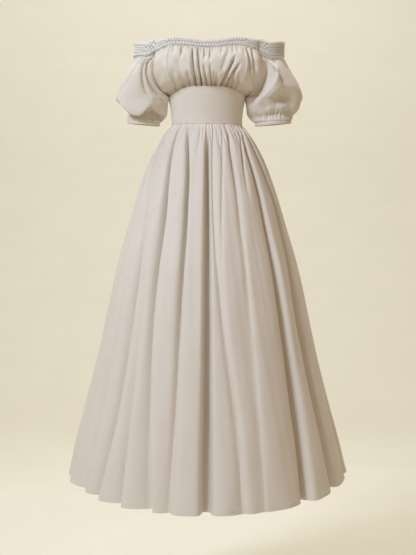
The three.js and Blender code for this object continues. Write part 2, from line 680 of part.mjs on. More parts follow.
function backDrape(across, down) {
  const x = Math.abs(bodiceBase(across, down, false).x);
  const wave = 0.5 - 0.5 * Math.cos(Math.abs(across) * Math.PI * BACK_GATHERS);
  const mid = mix(1, 0.3, Math.sin(Math.PI * clamp01(down)));
  const clear = smooth((x - ZIP_CLEAR_WIDTH) / 10);
  const atArmhole = smooth((1 - Math.abs(across)) / 0.06);
  return BACK_GATHER_DEPTH * wave * mid * clear * atArmhole;
}

const bustPlace = drapedPlace((a, d) => bodiceBase(a, d, true), bustDrape, -1);
const backPlace = drapedPlace((a, d) => bodiceBase(a, d, false), backDrape, 1);
const princessAt = (down) => mix(PRINCESS_SEAM.top, PRINCESS_SEAM.bottom, down);

// A panel of the bodice between two edges, each given as its place across for any place down.
function bodicePanel(name, place, from, to, columns) {
  const rows = BODICE_ROWS.map((down) => ({ down, across: spread(from(down), to(down), columns) }));
  return clothWall(name, place, rows, BODICE_CLOTH, IVORY);
}

function bodice() {
  const side = () => 1;
  const minus = (edge) => (down) => -edge(down);
  const middle = () => 0;
  return [
    bodicePanel("bust_centre", bustPlace, minus(princessAt), princessAt, CENTRE_COLUMNS),
    bodicePanel("bust_side_left", bustPlace, princessAt, side, SIDE_COLUMNS),
    bodicePanel("bust_side_right", bustPlace, minus(side), minus(princessAt), SIDE_COLUMNS),
    bodicePanel("bodice_back_left", backPlace, middle, side, BACK_COLUMNS),
    bodicePanel("bodice_back_right", backPlace, minus(side), middle, BACK_COLUMNS),
  ];
}

function yoke() {
  const seam = PRINCESS_SEAM.bottom;
  const front = [
    ...spread(-1, -seam, SIDE_COLUMNS).slice(0, -1),
    ...spread(-seam, seam, CENTRE_COLUMNS),
    ...spread(seam, 1, SIDE_COLUMNS).slice(1),
  ].map((across) => across * 90);
  return [
    yokePanel("yoke_front", front, 28),
    yokePanel("yoke_back_left", spread(90, 180, BACK_COLUMNS), 12),
    yokePanel("yoke_back_right", spread(180, 270, BACK_COLUMNS), 12),
  ];
}

// Neckline lace: a strip round the top edge of every panel, from the zip round to the zip.
function necklinePath() {
  const steps = 60;
  const path = [];
  const backEdge = (a) => bodiceBase(a, 0, false);
  const sleeveEdge = (side) => (a) => onSide(sleeveBase(a, 0), side);
  for (const a of spread(0, 1, steps)) path.push(backEdge(a));
  for (const a of spread(0.97, -0.97, steps)) path.push(sleeveEdge(1)(a));
  for (const a of spread(1, -1, 2 * steps)) path.push(bodiceBase(a, 0, true));
  for (const a of spread(-0.97, 0.97, steps)) path.push(sleeveEdge(-1)(a));
  for (const a of spread(-1, 0, steps)) path.push(backEdge(a));
  return path;
}

function neckLace() {
  const path = necklinePath();
  const curveRound = new THREE.CatmullRomCurve3(path, false, "centripetal");
  curveRound.arcLengthDivisions = 2000;
  const count = SCALLOPS * COLUMNS_IN_SCALLOP;
  const place = (across, down, under) => {
    const share = clamp01(across);
    const foot = curveRound.getPointAt(share);
    const way = curveRound.getTangentAt(share);
    const outward = new THREE.Vector3(way.y, -way.x, 0).normalize().negate();
    const front = foot.y < 0;
    const rise = laceEdge(foot.x, front, "upper") - laceEdge(foot.x, front, "lower");
    const bump = Math.abs(Math.sin(Math.PI * share * SCALLOPS));
    const top = foot.z + SEAM_GAP + rise - SCALLOP_HEIGHT * (1 - bump);
    foot.z = mix(top, foot.z + SEAM_GAP, down);
    return foot.addScaledVector(outward, 0.3 - under);
  };
  const across = spread(0, 1, count);
  const rows = [0, 1].map((down) => ({ down, across }));
  return clothWall("neck_lace", place, rows, LACE_THICKNESS, LACE_WHITE);
}

// Zip slider and tab
function manifoldOf(geometry) {
  const bare = geometry.clone();
  bare.deleteAttribute("normal");
  bare.deleteAttribute("uv");
  const merged = mergeVertices(bare, 1e-4);
  return new wasm.Manifold(
    new wasm.Mesh({
      numProp: 3,
      vertProperties: merged.getAttribute("position").array,
      triVerts: new Uint32Array(merged.getIndex().array),
    }),
  );
}

function meshOfManifold(name, made, colour) {
  const mesh = made.getMesh();
  const geometry = new THREE.BufferGeometry();
  geometry.setAttribute("position", new THREE.Float32BufferAttribute(mesh.vertProperties, 3));
  geometry.setIndex(Array.from(mesh.triVerts));
  geometry.computeVertexNormals();
  return meshOf(name, geometry, colour);
}

const box = (x, y, z, at) => new THREE.BoxGeometry(x, y, z).translate(...at);

function crossBar(radius, length, at) {
  return new THREE.CylinderGeometry(radius, radius, length, 16).rotateZ(Math.PI / 2).translate(...at);
}

// The back's outer face at the centre seam, at a height.
function centreBackAt(height) {
  const down = (laceEdge(0, false, "lower") - height) / (laceEdge(0, false, "lower") - YOKE_TOP_BACK);
  return bodiceBase(0, clamp01(down), false).y;
}

function zip() {
  const pin = [0, centreBackAt(ZIP_PIN_HEIGHT) + ZIP_PIN_OUT, ZIP_PIN_HEIGHT];
  const { width, tall, deep, ear } = ZIP_SLIDER;
  const plateBack = centreBackAt(ZIP_PIN_HEIGHT) + 0.9;
  const plateMiddle = [0, plateBack + deep / 2, ZIP_PIN_HEIGHT];
  const earOut = pin[1] + ZIP_PIN_RADIUS + 0.8;
  const earDeep = earOut - plateBack - deep / 2;
  let slider = manifoldOf(box(width, deep, tall, plateMiddle));
  for (const side of [-1, 1]) {
    const at = [side * (width / 2 - ear / 2), earOut - earDeep / 2, ZIP_PIN_HEIGHT];
    slider = slider.add(manifoldOf(box(ear, earDeep, 3.6, at)));
  }
  slider = slider.add(manifoldOf(crossBar(ZIP_PIN_RADIUS, width - ear, pin)));

  const { width: tabWidth, thick, long } = ZIP_TAB;
  const plate = box(tabWidth, thick, long - ZIP_EYE_OUTER, [
    0,
    pin[1],
    pin[2] - ZIP_EYE_OUTER + 0.6 - (long - ZIP_EYE_OUTER) / 2,
  ]);
  const tab = manifoldOf(crossBar(ZIP_EYE_OUTER, tabWidth, pin))
    .add(manifoldOf(plate))
    .subtract(manifoldOf(crossBar(ZIP_EYE_RADIUS, tabWidth + 2, pin)));
  return [
    meshOfManifold("zip_slider", slider, ZIP_METAL),
    meshOfManifold("zip_tab", tab, ZIP_METAL),
  ];
}

const dress = new THREE.Group();
dress.name = "maxi_dress";
dress.position.set(0, 0, -HELD_HEIGHT);
dress.add(
  skirtPanel("skirt_front", -90, 90),
  skirtPanel("skirt_back_left", 90, 180),
  skirtPanel("skirt_back_right", 180, 270),
  ...yoke(),
  ...bodice(),
  sleeve("sleeve_left", 1),
  sleeve("sleeve_right", -1),
  cuff("cuff_left", 1),
  cuff("cuff_right", -1),
  neckLace(),
  ...zip(),
);

export default dress;
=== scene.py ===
"""Off-the-shoulder maxi dress in ivory cotton with a white lace neckline, in its worn, hollow form.

Lengths in the tables are millimetres and heights are above the hem. A point becomes metres in the
model's own frame, whose origin is the middle of the neckline, only when its mesh is made.
"""

import math

import bpy
import numpy as np
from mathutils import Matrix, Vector


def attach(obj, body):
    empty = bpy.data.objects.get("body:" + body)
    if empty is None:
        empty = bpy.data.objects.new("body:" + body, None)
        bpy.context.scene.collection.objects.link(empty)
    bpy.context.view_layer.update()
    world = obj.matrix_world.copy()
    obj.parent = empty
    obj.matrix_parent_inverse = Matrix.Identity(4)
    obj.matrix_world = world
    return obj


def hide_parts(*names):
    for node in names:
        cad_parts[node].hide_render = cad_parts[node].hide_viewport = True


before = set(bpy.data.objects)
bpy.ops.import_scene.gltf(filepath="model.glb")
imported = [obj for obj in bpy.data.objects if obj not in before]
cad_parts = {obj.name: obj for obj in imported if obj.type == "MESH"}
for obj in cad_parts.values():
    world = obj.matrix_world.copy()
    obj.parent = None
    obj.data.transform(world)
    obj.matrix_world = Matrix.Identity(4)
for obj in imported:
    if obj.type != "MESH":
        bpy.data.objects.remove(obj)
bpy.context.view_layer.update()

MM = 0.001
HELD_HEIGHT = 1322.0
WAIST_HEIGHT = 1100.0
UNDERARM_HEIGHT = 1177.0
BODY = "dress"


def columns(names, *rows):
    """A table as one array for each named column."""
    return dict(zip(names.split(), np.array(rows, float).T))


def rows_of(table):
    """The rows of a table, each as a dict."""
    return [dict(zip(table, row)) for row in zip(*table.values())]


SKIRT_RINGS = columns(
    "height half_width front back",
    (0, 432, 454, 440), (60, 419, 441, 427), (185, 390, 411, 397), (310, 359, 379, 366),
    (435, 330, 346, 336), (560, 302, 313, 306), (685, 272, 277, 275), (805, 237, 235, 240),
    (870, 219, 212, 220), (930, 199, 188, 199), (990, 175, 161, 172), (1022, 159, 144, 153),
    (1052, 142, 126, 132), (1068, 132, 115, 118), (1083, 121, 103, 103), (1094, 111, 94, 92),
    (1100, 108.5, 91, 88),
)
YOKE_RINGS = columns(
    "height half_width front back",
    (1100, 107.3, 90, 87), (1115, 107.8, 90.5, 86), (1135, 109.5, 92, 86),
    (1160, 113.5, 95.5, 88), (1178, 117.6, 99, 90), (1210, 124, 104, 94),
)
UNDERBUST = columns(
    "x height",
    (0, 1209.6), (45, 1209), (62, 1205.5), (85, 1197), (105, 1186), (117.6, UNDERARM_HEIGHT),
)
UNDERBUST_REACH = 117.6
YOKE_TOP_BACK = 1180.0
LACE_FRONT = columns(
    "x lower upper",
    (0, 1325, 1345), (30, 1326.5, 1347), (60, 1330.5, 1351.5), (90, 1332, 1354.5),
    (120, 1328.5, 1352.5), (149, 1318, 1346.5), (165, 1307, 1343), (180, 1304.5, 1342),
    (200, 1304, 1343.5), (229, 1304.5, 1349),
)
LACE_BACK = columns(
    "x lower upper",
    (0, 1322, 1345), (120, 1321, 1344.5), (149, 1316, 1343.5), (165, 1307, 1342.5),
    (180, 1304.5, 1342), (200, 1304, 1343.5), (229, 1304.5, 1349),
)
SLEEVE_RINGS = columns(
    "height seam outer depth wrap tilt",
    (1320, 149, 225.5, 88, 77, 0), (1304, 156, 228, 89, 79, 0), (1296, 159, 231.5, 92, 92, 0),
    (1277, 162, 242, 97, 115, 0), (1252, 161, 257, 98, 127, 0), (1228, 154, 270, 95, 139, 0),
    (1203, 141, 279.5, 91, 153, 0), (1188, 128, 283, 88, 166, 0), (1177, 118.2, 284.5, 86, 180, 0),
    (1155, 120.5, 284.5, 82, 180, 1), (1137, 121.5, 278, 76, 180, 2), (1123, 127, 268, 68, 180, 3),
    (1114, 136, 258, 60, 180, 4), (1108, 146, 250, 52, 180, 4.5),
)
SLEEVE_TOP = 1304.0
ARMHOLE_TOP_FRONT = 1318.0
ARMHOLE_TOP_BACK = 1316.0
SLEEVE_ABOVE_UNDERARM = 0.62
CUFF_TOP = 1108.0
CUFF_BOTTOM = 1098.0
CUFF_REACH = 52.0
CUFF_MIDDLE = 198.0
CUFF_TILT = 4.5
BUST_SECTIONS = columns(
    "down middle squareness",
    (0, 119, 2.5), (0.15, 132, 2.5), (0.35, 144, 2.45), (0.6, 147, 2.35), (0.8, 136, 2.2),
    (0.92, 119, 2.05), (1, 105, 2),
)
BACK_SECTIONS = columns(
    "down middle squareness",
    (0, 99, 2.4), (0.25, 102, 2.4), (0.6, 101, 2.3), (0.85, 96, 2.1), (1, 90.5, 2),
)
PRINCESS_TOP = 0.455
PRINCESS_BOTTOM = 0.53
LEAN_FROM = 125.0
LEAN_SHARE = 0.057

CLOTH = 0.9
CLOTH_DOUBLED = 1.5
SEAM_GAP = 0.3
THREAD_FLAT = 0.8

# Folds of the skirt. Each has its turns in degrees from the front middle at the six heights, the
# depth there of its groove and of the soft slope beside it, in degrees the width of the groove's left
# side, half its floor and its right side, and the width of the slope, negative when it lies on the left.
FOLD_HEIGHTS = (1100, 1000, 850, 560, 250, 0)
KNEE = FOLD_HEIGHTS.index(560)
SKIRT_FOLDS = (
    ((-86, -82, -80, -80, -80, -81), (1, 3, 5, 6, 8, 8), (0, 1, 2, 4, 6, 8), 1.6, 0, 1.4, -4),
    ((-78, -70, -66, -62, -62, -63), (1, 2, 5, 9, 13, 15), (0, 0, 5, 12, 18, 20), 1.5, 0.2, 1.2, -4.5),
    ((-80, -75, -57, -49.5, -49.5, -52), (1, 6, 19, 25, 26, 28), (0, 3, 13, 22, 26, 28), 1.3, 0.6, 0.9, -5),
    ((-62, -60, -50, -41, -39.5, -38), (0, 0, 0, 4, 13, 20), (0, 0, 0, 6, 19, 27), 1.3, 0.3, 0.7, -4.5),
    ((-48, -40.5, -34.3, -33, -29, -24), (3, 34, 38, 25, 15, 13), (0, 3, 6, 15, 32, 34), 1.1, 0.55, 0.5, -4.2),
    ((-31, -20, -16, -15.1, -14.5, -15), (3, 28, 32, 26, 16, 10), (0, 2, 4, 7, 12, 14), 0.9, 0.4, 0.45, -3.5),
    ((0, 0, 0, 0, -0.2, -0.4), (4, 28, 34, 40, 46, 44), (0, 2, 3, 4, 6, 8), 0.45, 1.3, 0.6, 3),
    ((9.7, 6.2, 5.3, 8.2, 13.3, 14), (2, 9, 11, 7, 6, 8), (0, 2, 3, 5, 7, 8), 1.2, 0, 1.2, -3),
    ((23, 16.2, 11.4, 9, 9, 9), (2, 6, 5, 1, 0, 0), (0, 0, 0, 0, 0, 0), 0.8, 0, 0.8, 3),
    ((32, 26.3, 25.4, 24.2, 23.2, 22.3), (2, 14, 8, 3, 2, 2), (0, 2, 4, 5, 5, 6), 1.2, 0.3, 0.9, -3.5),
    ((54, 39.5, 35, 34, 34, 34), (2, 10, 1, 0, 0, 0), (0, 0, 0, 0, 0, 0), 0.8, 0, 0.8, 4),
    ((62, 49.5, 49.3, 48.4, 47.3, 44.3), (3, 22, 21, 23, 29, 34), (0, 4, 8, 14, 20, 20), 0.9, 0.6, 0.5, -4.2),
    ((73, 66, 69.5, 65.5, 64, 63.5), (3, 20, 24, 22, 24, 26), (0, 3, 6, 10, 13, 13), 0.9, 0.5, 0.6, -3.6),
    ((84, 82, 82, 81, 81, 81), (2, 3, 3, 3, 4, 6), (0, 0, 1, 2, 3, 5), 1.4, 0.2, 1, -3),
    ((92, 96, 97, 99, 100, 101), (2, 16, 16, 16, 18, 20), (0, 2, 5, 9, 13, 16), 0.8, 0.5, 1, 4),
    ((114, 113, 114, 116, 118, 119), (2, 18, 20, 18, 16, 14), (0, 2, 5, 9, 14, 16), 1, 0.4, 0.6, -4),
    ((134, 132, 130, 131, 132, 133), (2, 14, 10, 6, 5, 6), (0, 3, 6, 9, 11, 12), 1, 0.2, 1.2, 4),
    ((151, 149, 150, 149, 150, 152), (2, 22, 26, 28, 28, 28), (0, 2, 4, 6, 10, 12), 0.5, 0.9, 0.8, 4),
    ((166, 166, 165, 167, 168, 168), (2, 12, 8, 4, 4, 6), (0, 2, 5, 8, 10, 11), 1.2, 0, 1, -3.5),
    ((183, 183, 182, 183, 184, 185), (3, 28, 34, 38, 38, 32), (0, 2, 4, 7, 10, 12), 0.9, 0.9, 0.5, -4),
    ((201, 199, 200, 199, 198, 197), (2, 14, 9, 5, 4, 5), (0, 2, 5, 8, 10, 12), 1.2, 0.2, 1, 3.5),
    ((217, 216, 214, 216, 217, 218), (2, 20, 22, 22, 22, 24), (0, 2, 5, 8, 12, 14), 0.9, 0.6, 0.6, -4.4),
    ((236, 234, 236, 235, 234, 234), (2, 14, 10, 8, 7, 7), (0, 3, 6, 9, 12, 13), 1, 0.2, 1.2, 4),
    ((255, 254, 252, 254, 257, 258), (2, 16, 18, 16, 16, 18), (0, 2, 5, 8, 12, 15), 1, 0.4, 0.7, -4),
)
SLOPE_OTHER_SIDE = 0.9
FOLD_CLEAR_OF_SEAM = 4
HEM_DEPTH = 14.0
HEM_LIFT = columns(
    "turn lift",
    (-90, 20), (-68, 14), (-48, 3), (0, -5), (40, 2), (62, 14), (78, 28), (90, 34), (130, 18),
    (180, 4), (235, 12), (270, 20),
)
HEM_LIFT_FROM = 500.0
# Small gathers under the waist seam: turn, depth and how far down each reaches. The ones behind
# follow a rule.
WAIST_GATHERS = columns(
    "turn deep long",
    (-83, 5, 60), (-72, 5, 45), (-66, 5, 50), (-56, 6, 60), (-46, 6, 80), (-40, 5, 60), (-34, 6, 90),
    (-25, 7, 90), (-20, 7, 100), (-13.5, 4, 35), (-9, 7, 110), (-4.5, 6, 60), (4.6, 7, 60),
    (9.2, 6, 60), (13.8, 7, 110), (18, 4, 35), (22, 6, 70), (26.5, 4, 35), (30.4, 7, 100), (36, 6, 75),
    (42, 6, 90), (46.5, 4, 40), (51, 7, 90), (57, 5, 60), (66, 5, 70), (69, 5, 50), (80, 6, 80), (88, 5, 60),
)
GATHERS_BEHIND = 27
WAIST_GATHER_DEPTH = 6.0
WAIST_GATHER_WIDTH = 0.85
WAIST_TUCKS = 116
WAIST_TUCK_DEPTH = 1.5
WAIST_TUCK_REACH = 26

# Folds of the bust: x at the top, half way and at the bottom of the panel, depth, width, and the
# stretch of its height where each shows.
BUST_FOLDS = columns(
    "top middle bottom deep wide start end",
    (-146, -141, -118, 3.5, 8, 0, 0.8), (-128, -122, -106, 3.5, 5, 0, 0.5),
    (-112, -106, -92, 4, 4, 0.5, 1), (-98, -100, -90, 3.5, 3, 0, 0.3),
    (-75, -77, -76, 7.5, 2.4, 0, 0.4), (-66, -70, -68, 4, 2.4, 0, 0.2), (-84, -82, -70, 4.5, 7, 0.25, 1),
    (-58, -60, -52, 6.5, 4, 0.6, 1), (-42, -41, -35, 13, 2.7, 0, 1), (-51, -50, -48, 3.5, 2.2, 0, 0.22),
    (-26, -24, -16, 12, 2.3, 0, 1), (-34, -32, -27, 4, 2.2, 0.5, 1), (-17, -16, -16, 4, 2, 0, 0.3),
    (-7.5, -7.5, -8, 7.5, 2, 0, 0.42), (-13, -9, 0, 8, 2.2, 0.4, 1),
    (1.5, 1, 1, 3.5, 1.8, 0, 0.25), (9, 9, 9, 7, 1.9, 0, 0.42), (8, 10, 14, 7, 2, 0.42, 1),
    (20, 20, 22, 4, 2.4, 0.55, 1), (18, 19, 20, 3.5, 2, 0, 0.2), (30, 30, 27, 4.5, 2.6, 0.62, 1),
    (46, 40, 32, 4, 3, 0, 0.3), (66, 50, 30, 5, 6, 0.1, 0.75), (93, 74, 42, 12, 3, 0.24, 1),
    (128, 94, 58, 11, 2.8, 0.4, 1), (112, 90, 72, 6.5, 2.8, 0.58, 1), (118, 102, 86, 5, 3, 0.6, 1),
    (62, 64, 60, 4.5, 2.6, 0, 0.24), (76, 80, 80, 5, 2.6, 0, 0.3), (92, 92, 90, 4.5, 2.6, 0, 0.22),
    (118, 131, 122, 8, 3.4, 0, 0.66), (134, 143, 130, 7.5, 3.6, 0, 0.6), (110, 114, 112, 5, 3, 0, 0.3),
    (144, 148, 134, 4.5, 5, 0.2, 0.9),
)
BUST_FOLD_SHARE = 1.45
BACK_FOLDS = columns(
    "top middle bottom deep wide start end",
    (-140, -144, -116, 4.5, 7, 0, 1), (-122, -118, -98, 4.5, 4, 0, 0.5), (-106, -108, -84, 5, 4, 0.4, 1),
    (-90, -92, -70, 5.5, 4, 0, 1), (-72, -74, -58, 4, 3.5, 0, 0.4), (-56, -58, -46, 6, 4, 0.2, 1),
    (-40, -40, -34, 5, 3.4, 0, 0.8), (-24, -26, -22, 4.5, 3.4, 0, 1),
    (24, 27, 21, 5, 3.4, 0, 1), (42, 42, 35, 4.5, 3.4, 0, 0.7), (57, 60, 47, 6, 4, 0.25, 1),
    (74, 76, 60, 4, 3.6, 0, 0.45), (92, 94, 72, 6, 4, 0, 1), (108, 112, 86, 4.5, 4, 0.35, 1),
    (124, 124, 100, 4.5, 4, 0, 0.55), (142, 147, 118, 4.5, 7, 0, 1),
)

# Folds of the sleeves: turns in degrees round the arm, negative in front, at the start, half way and
# at the end of the stretch of the sleeve's length where each shows.
SLEEVE_FOLDS_RIGHT = columns(
    "top middle bottom deep wide start end",
    (-58, -53, -36, 7, 4.5, 0, 0.6), (-68, -96, -110, 10, 4.6, 0, 0.66),
    (-88, -118, -160, 11, 5.5, 0, 0.76), (-34, -32, -28, 4, 5, 0, 0.32), (-78, -82, -84, 4, 3, 0, 0.26),
    (-14, -10, -6, 4.5, 7, 0, 0.45), (6, 8, 10, 5, 8, 0, 0.5), (26, 34, 36, 6, 7, 0, 0.62),
    (50, 66, 70, 7.5, 6, 0, 0.6), (72, 98, 122, 8, 6, 0, 0.7), (-100, -98, -92, 5, 6, 0.8, 1),
    (-132, -128, -120, 6, 6, 0.76, 1), (-66, -60, -58, 5, 5, 0.82, 1), (132, 144, 158, 6, 8, 0.4, 0.85),
)
SLEEVE_FOLDS_LEFT = columns(
    "top middle bottom deep wide start end",
    (-66, -71, -70, 11, 2.2, 0.02, 0.5), (-60, -64, -64, 20, 26, 0, 0.85), (-96, -138, -150, 18, 14, 0, 0.8),
    (-42, -96, -134, -7, 8, 0.04, 0.8), (-92, -91, -86, 6.5, 4.5, 0.52, 0.84),
    (-52, -54, -52, 4.5, 3, 0, 0.24), (-80, -86, -90, 4.5, 3, 0, 0.22), (-28, -26, -24, 4, 5, 0, 0.3),
    (-12, -14, -18, 4.5, 6, 0, 0.4), (14, 18, 10, 5.5, 8, 0, 0.5), (34, 44, 48, 6, 7, 0, 0.6),
    (56, 70, 78, 7, 6, 0, 0.62), (72, 100, 126, 8, 6, 0, 0.7), (-118, -112, -104, 7, 6, 0.62, 1),
    (-54, -44, -40, 5, 8, 0.66, 1), (134, 146, 160, 6, 8, 0.4, 0.85),
)
# Where the puff folds over its gathered underside: height of the crease by turn round the arm, and
# how much of the fold shows there.
CREASE_RIGHT = columns(
    "turn height strength",
    (-180, 1120, 0.6), (-150, 1128, 0.8), (-121, 1144, 1), (-114, 1152, 1), (-94, 1132, 1), (-80, 1123, 1),
    (-65, 1124, 1), (-48, 1143, 1), (-34, 1162, 1), (-15, 1171, 0.9), (15, 1164, 0.8), (60, 1145, 0.7),
    (110, 1130, 0.8), (180, 1120, 0.6),
)
CREASE_LEFT = columns(
    "turn height strength",
    (-180, 1140, 0.4), (-140, 1150, 0.4), (-112, 1166, 0.4), (-92, 1188, 0.9), (-79, 1200, 1),
    (-46, 1201, 1), (-20, 1186, 0.6), (20, 1164, 0.5), (60, 1150, 0.6), (110, 1140, 0.7), (180, 1140, 0.4),
)
UNDERARM_PUFF = 7.0
OVERHANG = 9.0
CREASES = {"right": (CREASE_RIGHT, 3.5, 30.0, 15.0), "left": (CREASE_LEFT, 7.0, 18.0, 34.0)}


def mix(a, b, share):
    return a + (b - a) * share


def smooth(t):
    s = np.clip(t, 0, 1)
    return s * s * (3 - 2 * s)


def curve(table, argument, value, at):
    """Smooth curve through one column of a table, without overshoot."""
    x, y = table[argument], table[value]
    if x[0] > x[-1]:
        x, y = x[::-1], y[::-1]
    at = np.clip(at, x[0], x[-1])
    i = np.clip(np.searchsorted(x, at) - 1, 0, len(x) - 2)
    slope = np.diff(y) / np.diff(x)
    a, b = slope[:-1], slope[1:]
    gentlest = 3 * np.minimum(np.abs(a), np.abs(b))
    inner = np.where(a * b > 0, np.sign(a) * np.minimum(np.abs(a + b) / 2, gentlest), 0)
    tangent = np.concatenate([slope[:1], inner, slope[-1:]])
    h = x[i + 1] - x[i]
    s = (at - x[i]) / h
    rise = 3 * s**2 - 2 * s**3
    return (
        y[i] * (1 - rise)
        + y[i + 1] * rise
        + tangent[i] * h * (s**3 - 2 * s**2 + s)
        + tangent[i + 1] * h * (s**3 - s**2)
    )


def stack(x, y, z):
    return np.stack(np.broadcast_arrays(x, y, z), -1)


def unit(vectors):
    return vectors / np.maximum(np.linalg.norm(vectors, axis=-1, keepdims=True), 1e-12)


def lean(x):
    return x + LEAN_SHARE * np.maximum(0, np.abs(x) - LEAN_FROM)


def trough(away, wide):
    return 1 / np.cosh(np.clip(away / wide, -30, 30))


def off_side(across):
    """0 at both side seams of a panel that goes from -1 to 1, and 1 a little inside them."""
    return smooth((1 - np.abs(across)) / 0.05)


def showing(start, end, down):
    """1 between start and end, fading at an end that isn't at the edge of the panel."""
    first = 1 if start == 0 else smooth((down - start) / 0.2)
    last = 1 if end == 1 else smooth((end - down) / 0.22)
    return first * last


def through(first, middle, last, share):
    """A line through three values, at shares 0, 0.5 and 1."""
    start = first * (1 - share) * (1 - 2 * share)
    return start + 4 * middle * share * (1 - share) + last * share * (2 * share - 1)


def ripple(u, v, seed):
    """Soft irregular unevenness from -1 to 1, with u and v in its own wavelengths."""
    total = 0
    for k, (a, b) in enumerate(((1.0, 0.31), (0.47, -0.83), (-0.62, 1.27), (1.71, 0.53))):
        total = total + np.sin(2 * np.pi * (a * u + b * v) + 1.7 * seed + 2.3 * k)
    return total / 4


# Waves of each unevenness round the body, each a whole number so that it meets itself.
SOFT_WAVES = (16, 7, -10, 27)
FINE_WAVES = (40, 19, -25, 68)
STRAIN_WAVES = (5, 2, -3, 9)


def around_ripple(waves, turn, up):
    """Soft unevenness from -1 to 1 that runs round the body and changes with height."""
    total = 0
    for k, (wave, rise) in enumerate(zip(waves, (0.31, -0.83, 1.27, 0.53))):
        total = total + np.sin(np.radians(wave * turn) + 2 * np.pi * rise * up + 1.7 + 2.3 * k)
    return total / 4


def pinch(phase):
    """Narrow valleys between rounded ridges, one for each whole phase."""
    return 1 - np.sqrt(np.cos(np.pi * phase) ** 2 + 0.04)


def uneven(phase, seed):
    """A phase whose steps are wider here and narrower there."""
    return phase + 0.22 * np.sin(phase * 1.13 + seed) + 0.16 * np.sin(phase * 0.41 + 2 * seed)


# Skirt and yoke
def ring_point(rings, turn_degrees, height):
    turn = np.radians(turn_degrees)
    front, back = (curve(rings, "height", side, height) for side in ("front", "back"))
    depth = np.where(np.cos(turn) > 0, front, back)
    half_width = curve(rings, "height", "half_width", height)
    point = stack(half_width * np.sin(turn), -depth * np.cos(turn), height)
    normal = unit(stack(np.sin(turn) / half_width, -np.cos(turn) / depth, 0 * turn))
    return point, normal


def apart(a, b):
    """Difference of two turns in degrees, the short way round."""
    return (a - b + 180) % 360 - 180


def skirt_drape(turn, height):
    depth = 0
    for turns, grooves, slopes, left, floor, right, slope in SKIRT_FOLDS:
        fold = columns("height turn groove slope", *zip(FOLD_HEIGHTS, turns, grooves, slopes))
        away = apart(turn, curve(fold, "height", "turn", height))
        beyond = np.maximum(0, np.abs(away) - floor)
        in_groove = np.where(away < 0, left, right)
        on_slope = np.where(away * slope > 0, abs(slope), SLOPE_OTHER_SIDE)
        for part, wide in (("groove", in_groove), ("slope", on_slope)):
            depth = depth + curve(fold, "height", part, height) * trough(beyond, wide)
    soft = around_ripple(SOFT_WAVES, turn, height / 700) * mix(3.5, 0, smooth((height - 700) / 350))
    fine = around_ripple(FINE_WAVES, turn, height / 260) * mix(1.0, 0, smooth((height - 900) / 150))
    return depth + soft + fine + waist_gathers(turn, height)


def waist_gathers(turn, height):
    """Small uneven gathers under the waist seam, each fading out at its own height."""
    below = WAIST_HEIGHT - height
    gathers = rows_of(WAIST_GATHERS)
    for number in range(GATHERS_BEHIND):
        chance = 0.5 + 0.5 * math.sin(number * 2.4)
        at = 92 + (number + 0.6) * 180 / GATHERS_BEHIND + 1.5 * math.sin(number * 5.1)
        deep = WAIST_GATHER_DEPTH * mix(0.7, 1.2, 0.5 + 0.5 * math.sin(number * 7.9))
        gathers.append({"turn": at, "deep": deep, "long": mix(40, 110, chance)})
    depth = 0
    for number, gather in enumerate(gathers):
        long = gather["long"]
        drift = 1.2 * math.sin(number * 3.7) * smooth(below / 90)
        grown = mix(0.5, 1, smooth(below / 18)) * (1 - smooth((below - 0.25 * long) / long))
        wide = WAIST_GATHER_WIDTH * mix(0.85, 1.2, 0.5 + 0.5 * math.sin(number * 1.9))
        depth = depth + gather["deep"] * grown * trough(apart(turn, gather["turn"] + drift), wide)
    phase = turn * WAIST_TUCKS / 360
    for share, waves in ((0.5, 13), (0.4, 5)):
        phase = phase + share * np.sin(np.radians(turn * waves))
    tucks = pinch(phase) * WAIST_TUCK_DEPTH * (1 - smooth(below / WAIST_TUCK_REACH))
    return depth + tucks


def fold_column_turns(columns_at_knee, start, end, height):
    """Turns at a height of the mesh's columns, which run down along the folds."""
    first, last = start + FOLD_CLEAR_OF_SEAM, end - FOLD_CLEAR_OF_SEAM
    inside = [fold for fold in SKIRT_FOLDS if first < fold[0][KNEE] < last]
    at_knee = [start] + [fold[0][KNEE] for fold in inside] + [end]
    tables = [columns("height turn", *zip(FOLD_HEIGHTS, fold[0])) for fold in inside]
    here = [start] + [float(curve(table, "height", "turn", np.array(height))) for table in tables] + [end]
    return np.interp(columns_at_knee, at_knee, here)


def fold_columns(start, end, count):
    """Turns at the knee of evenly spaced columns, closer together on the walls of the folds."""
    fine = np.linspace(start, end, 4000)
    density = np.ones_like(fine)
    for turns, _, _, left, floor, right, _ in SKIRT_FOLDS:
        away = apart(fine, turns[KNEE])
        density += (2.2 / left) * np.exp(-(((away + floor + left) / (1.6 * left)) ** 2))
        density += (2.2 / right) * np.exp(-(((away - floor - right) / (1.6 * right)) ** 2))
    spent = np.concatenate([[0], np.cumsum(density[1:] + density[:-1])])
    return np.interp(np.linspace(0, spent[-1], odd(count)), spent, fine)


def skirt_place(turn, height, under):
    point, normal = ring_point(SKIRT_RINGS, turn, height)
    tucked = 1.0 * smooth((height - WAIST_HEIGHT + 3) / 3)
    hem_fold = -0.5 * smooth((HEM_DEPTH + 1 - height) / 1.5)
    point = point - normal * (skirt_drape(turn, height) + tucked + hem_fold + under)[..., None]
    low = np.clip(1 - height / HEM_LIFT_FROM, 0, 1)
    around = np.where(turn < -90, turn + 360, turn)
    point[..., 2] += curve(HEM_LIFT, "turn", "lift", around) * low**2
    return point


def yoke_top(turn_degrees):
    turn = np.radians(turn_degrees)
    front = curve(UNDERBUST, "x", "height", np.abs(UNDERBUST_REACH * np.sin(turn)))
    back = mix(UNDERARM_HEIGHT, YOKE_TOP_BACK, smooth(-np.cos(turn) * 1.5))
    return np.where(np.cos(turn) > 0, front, back)


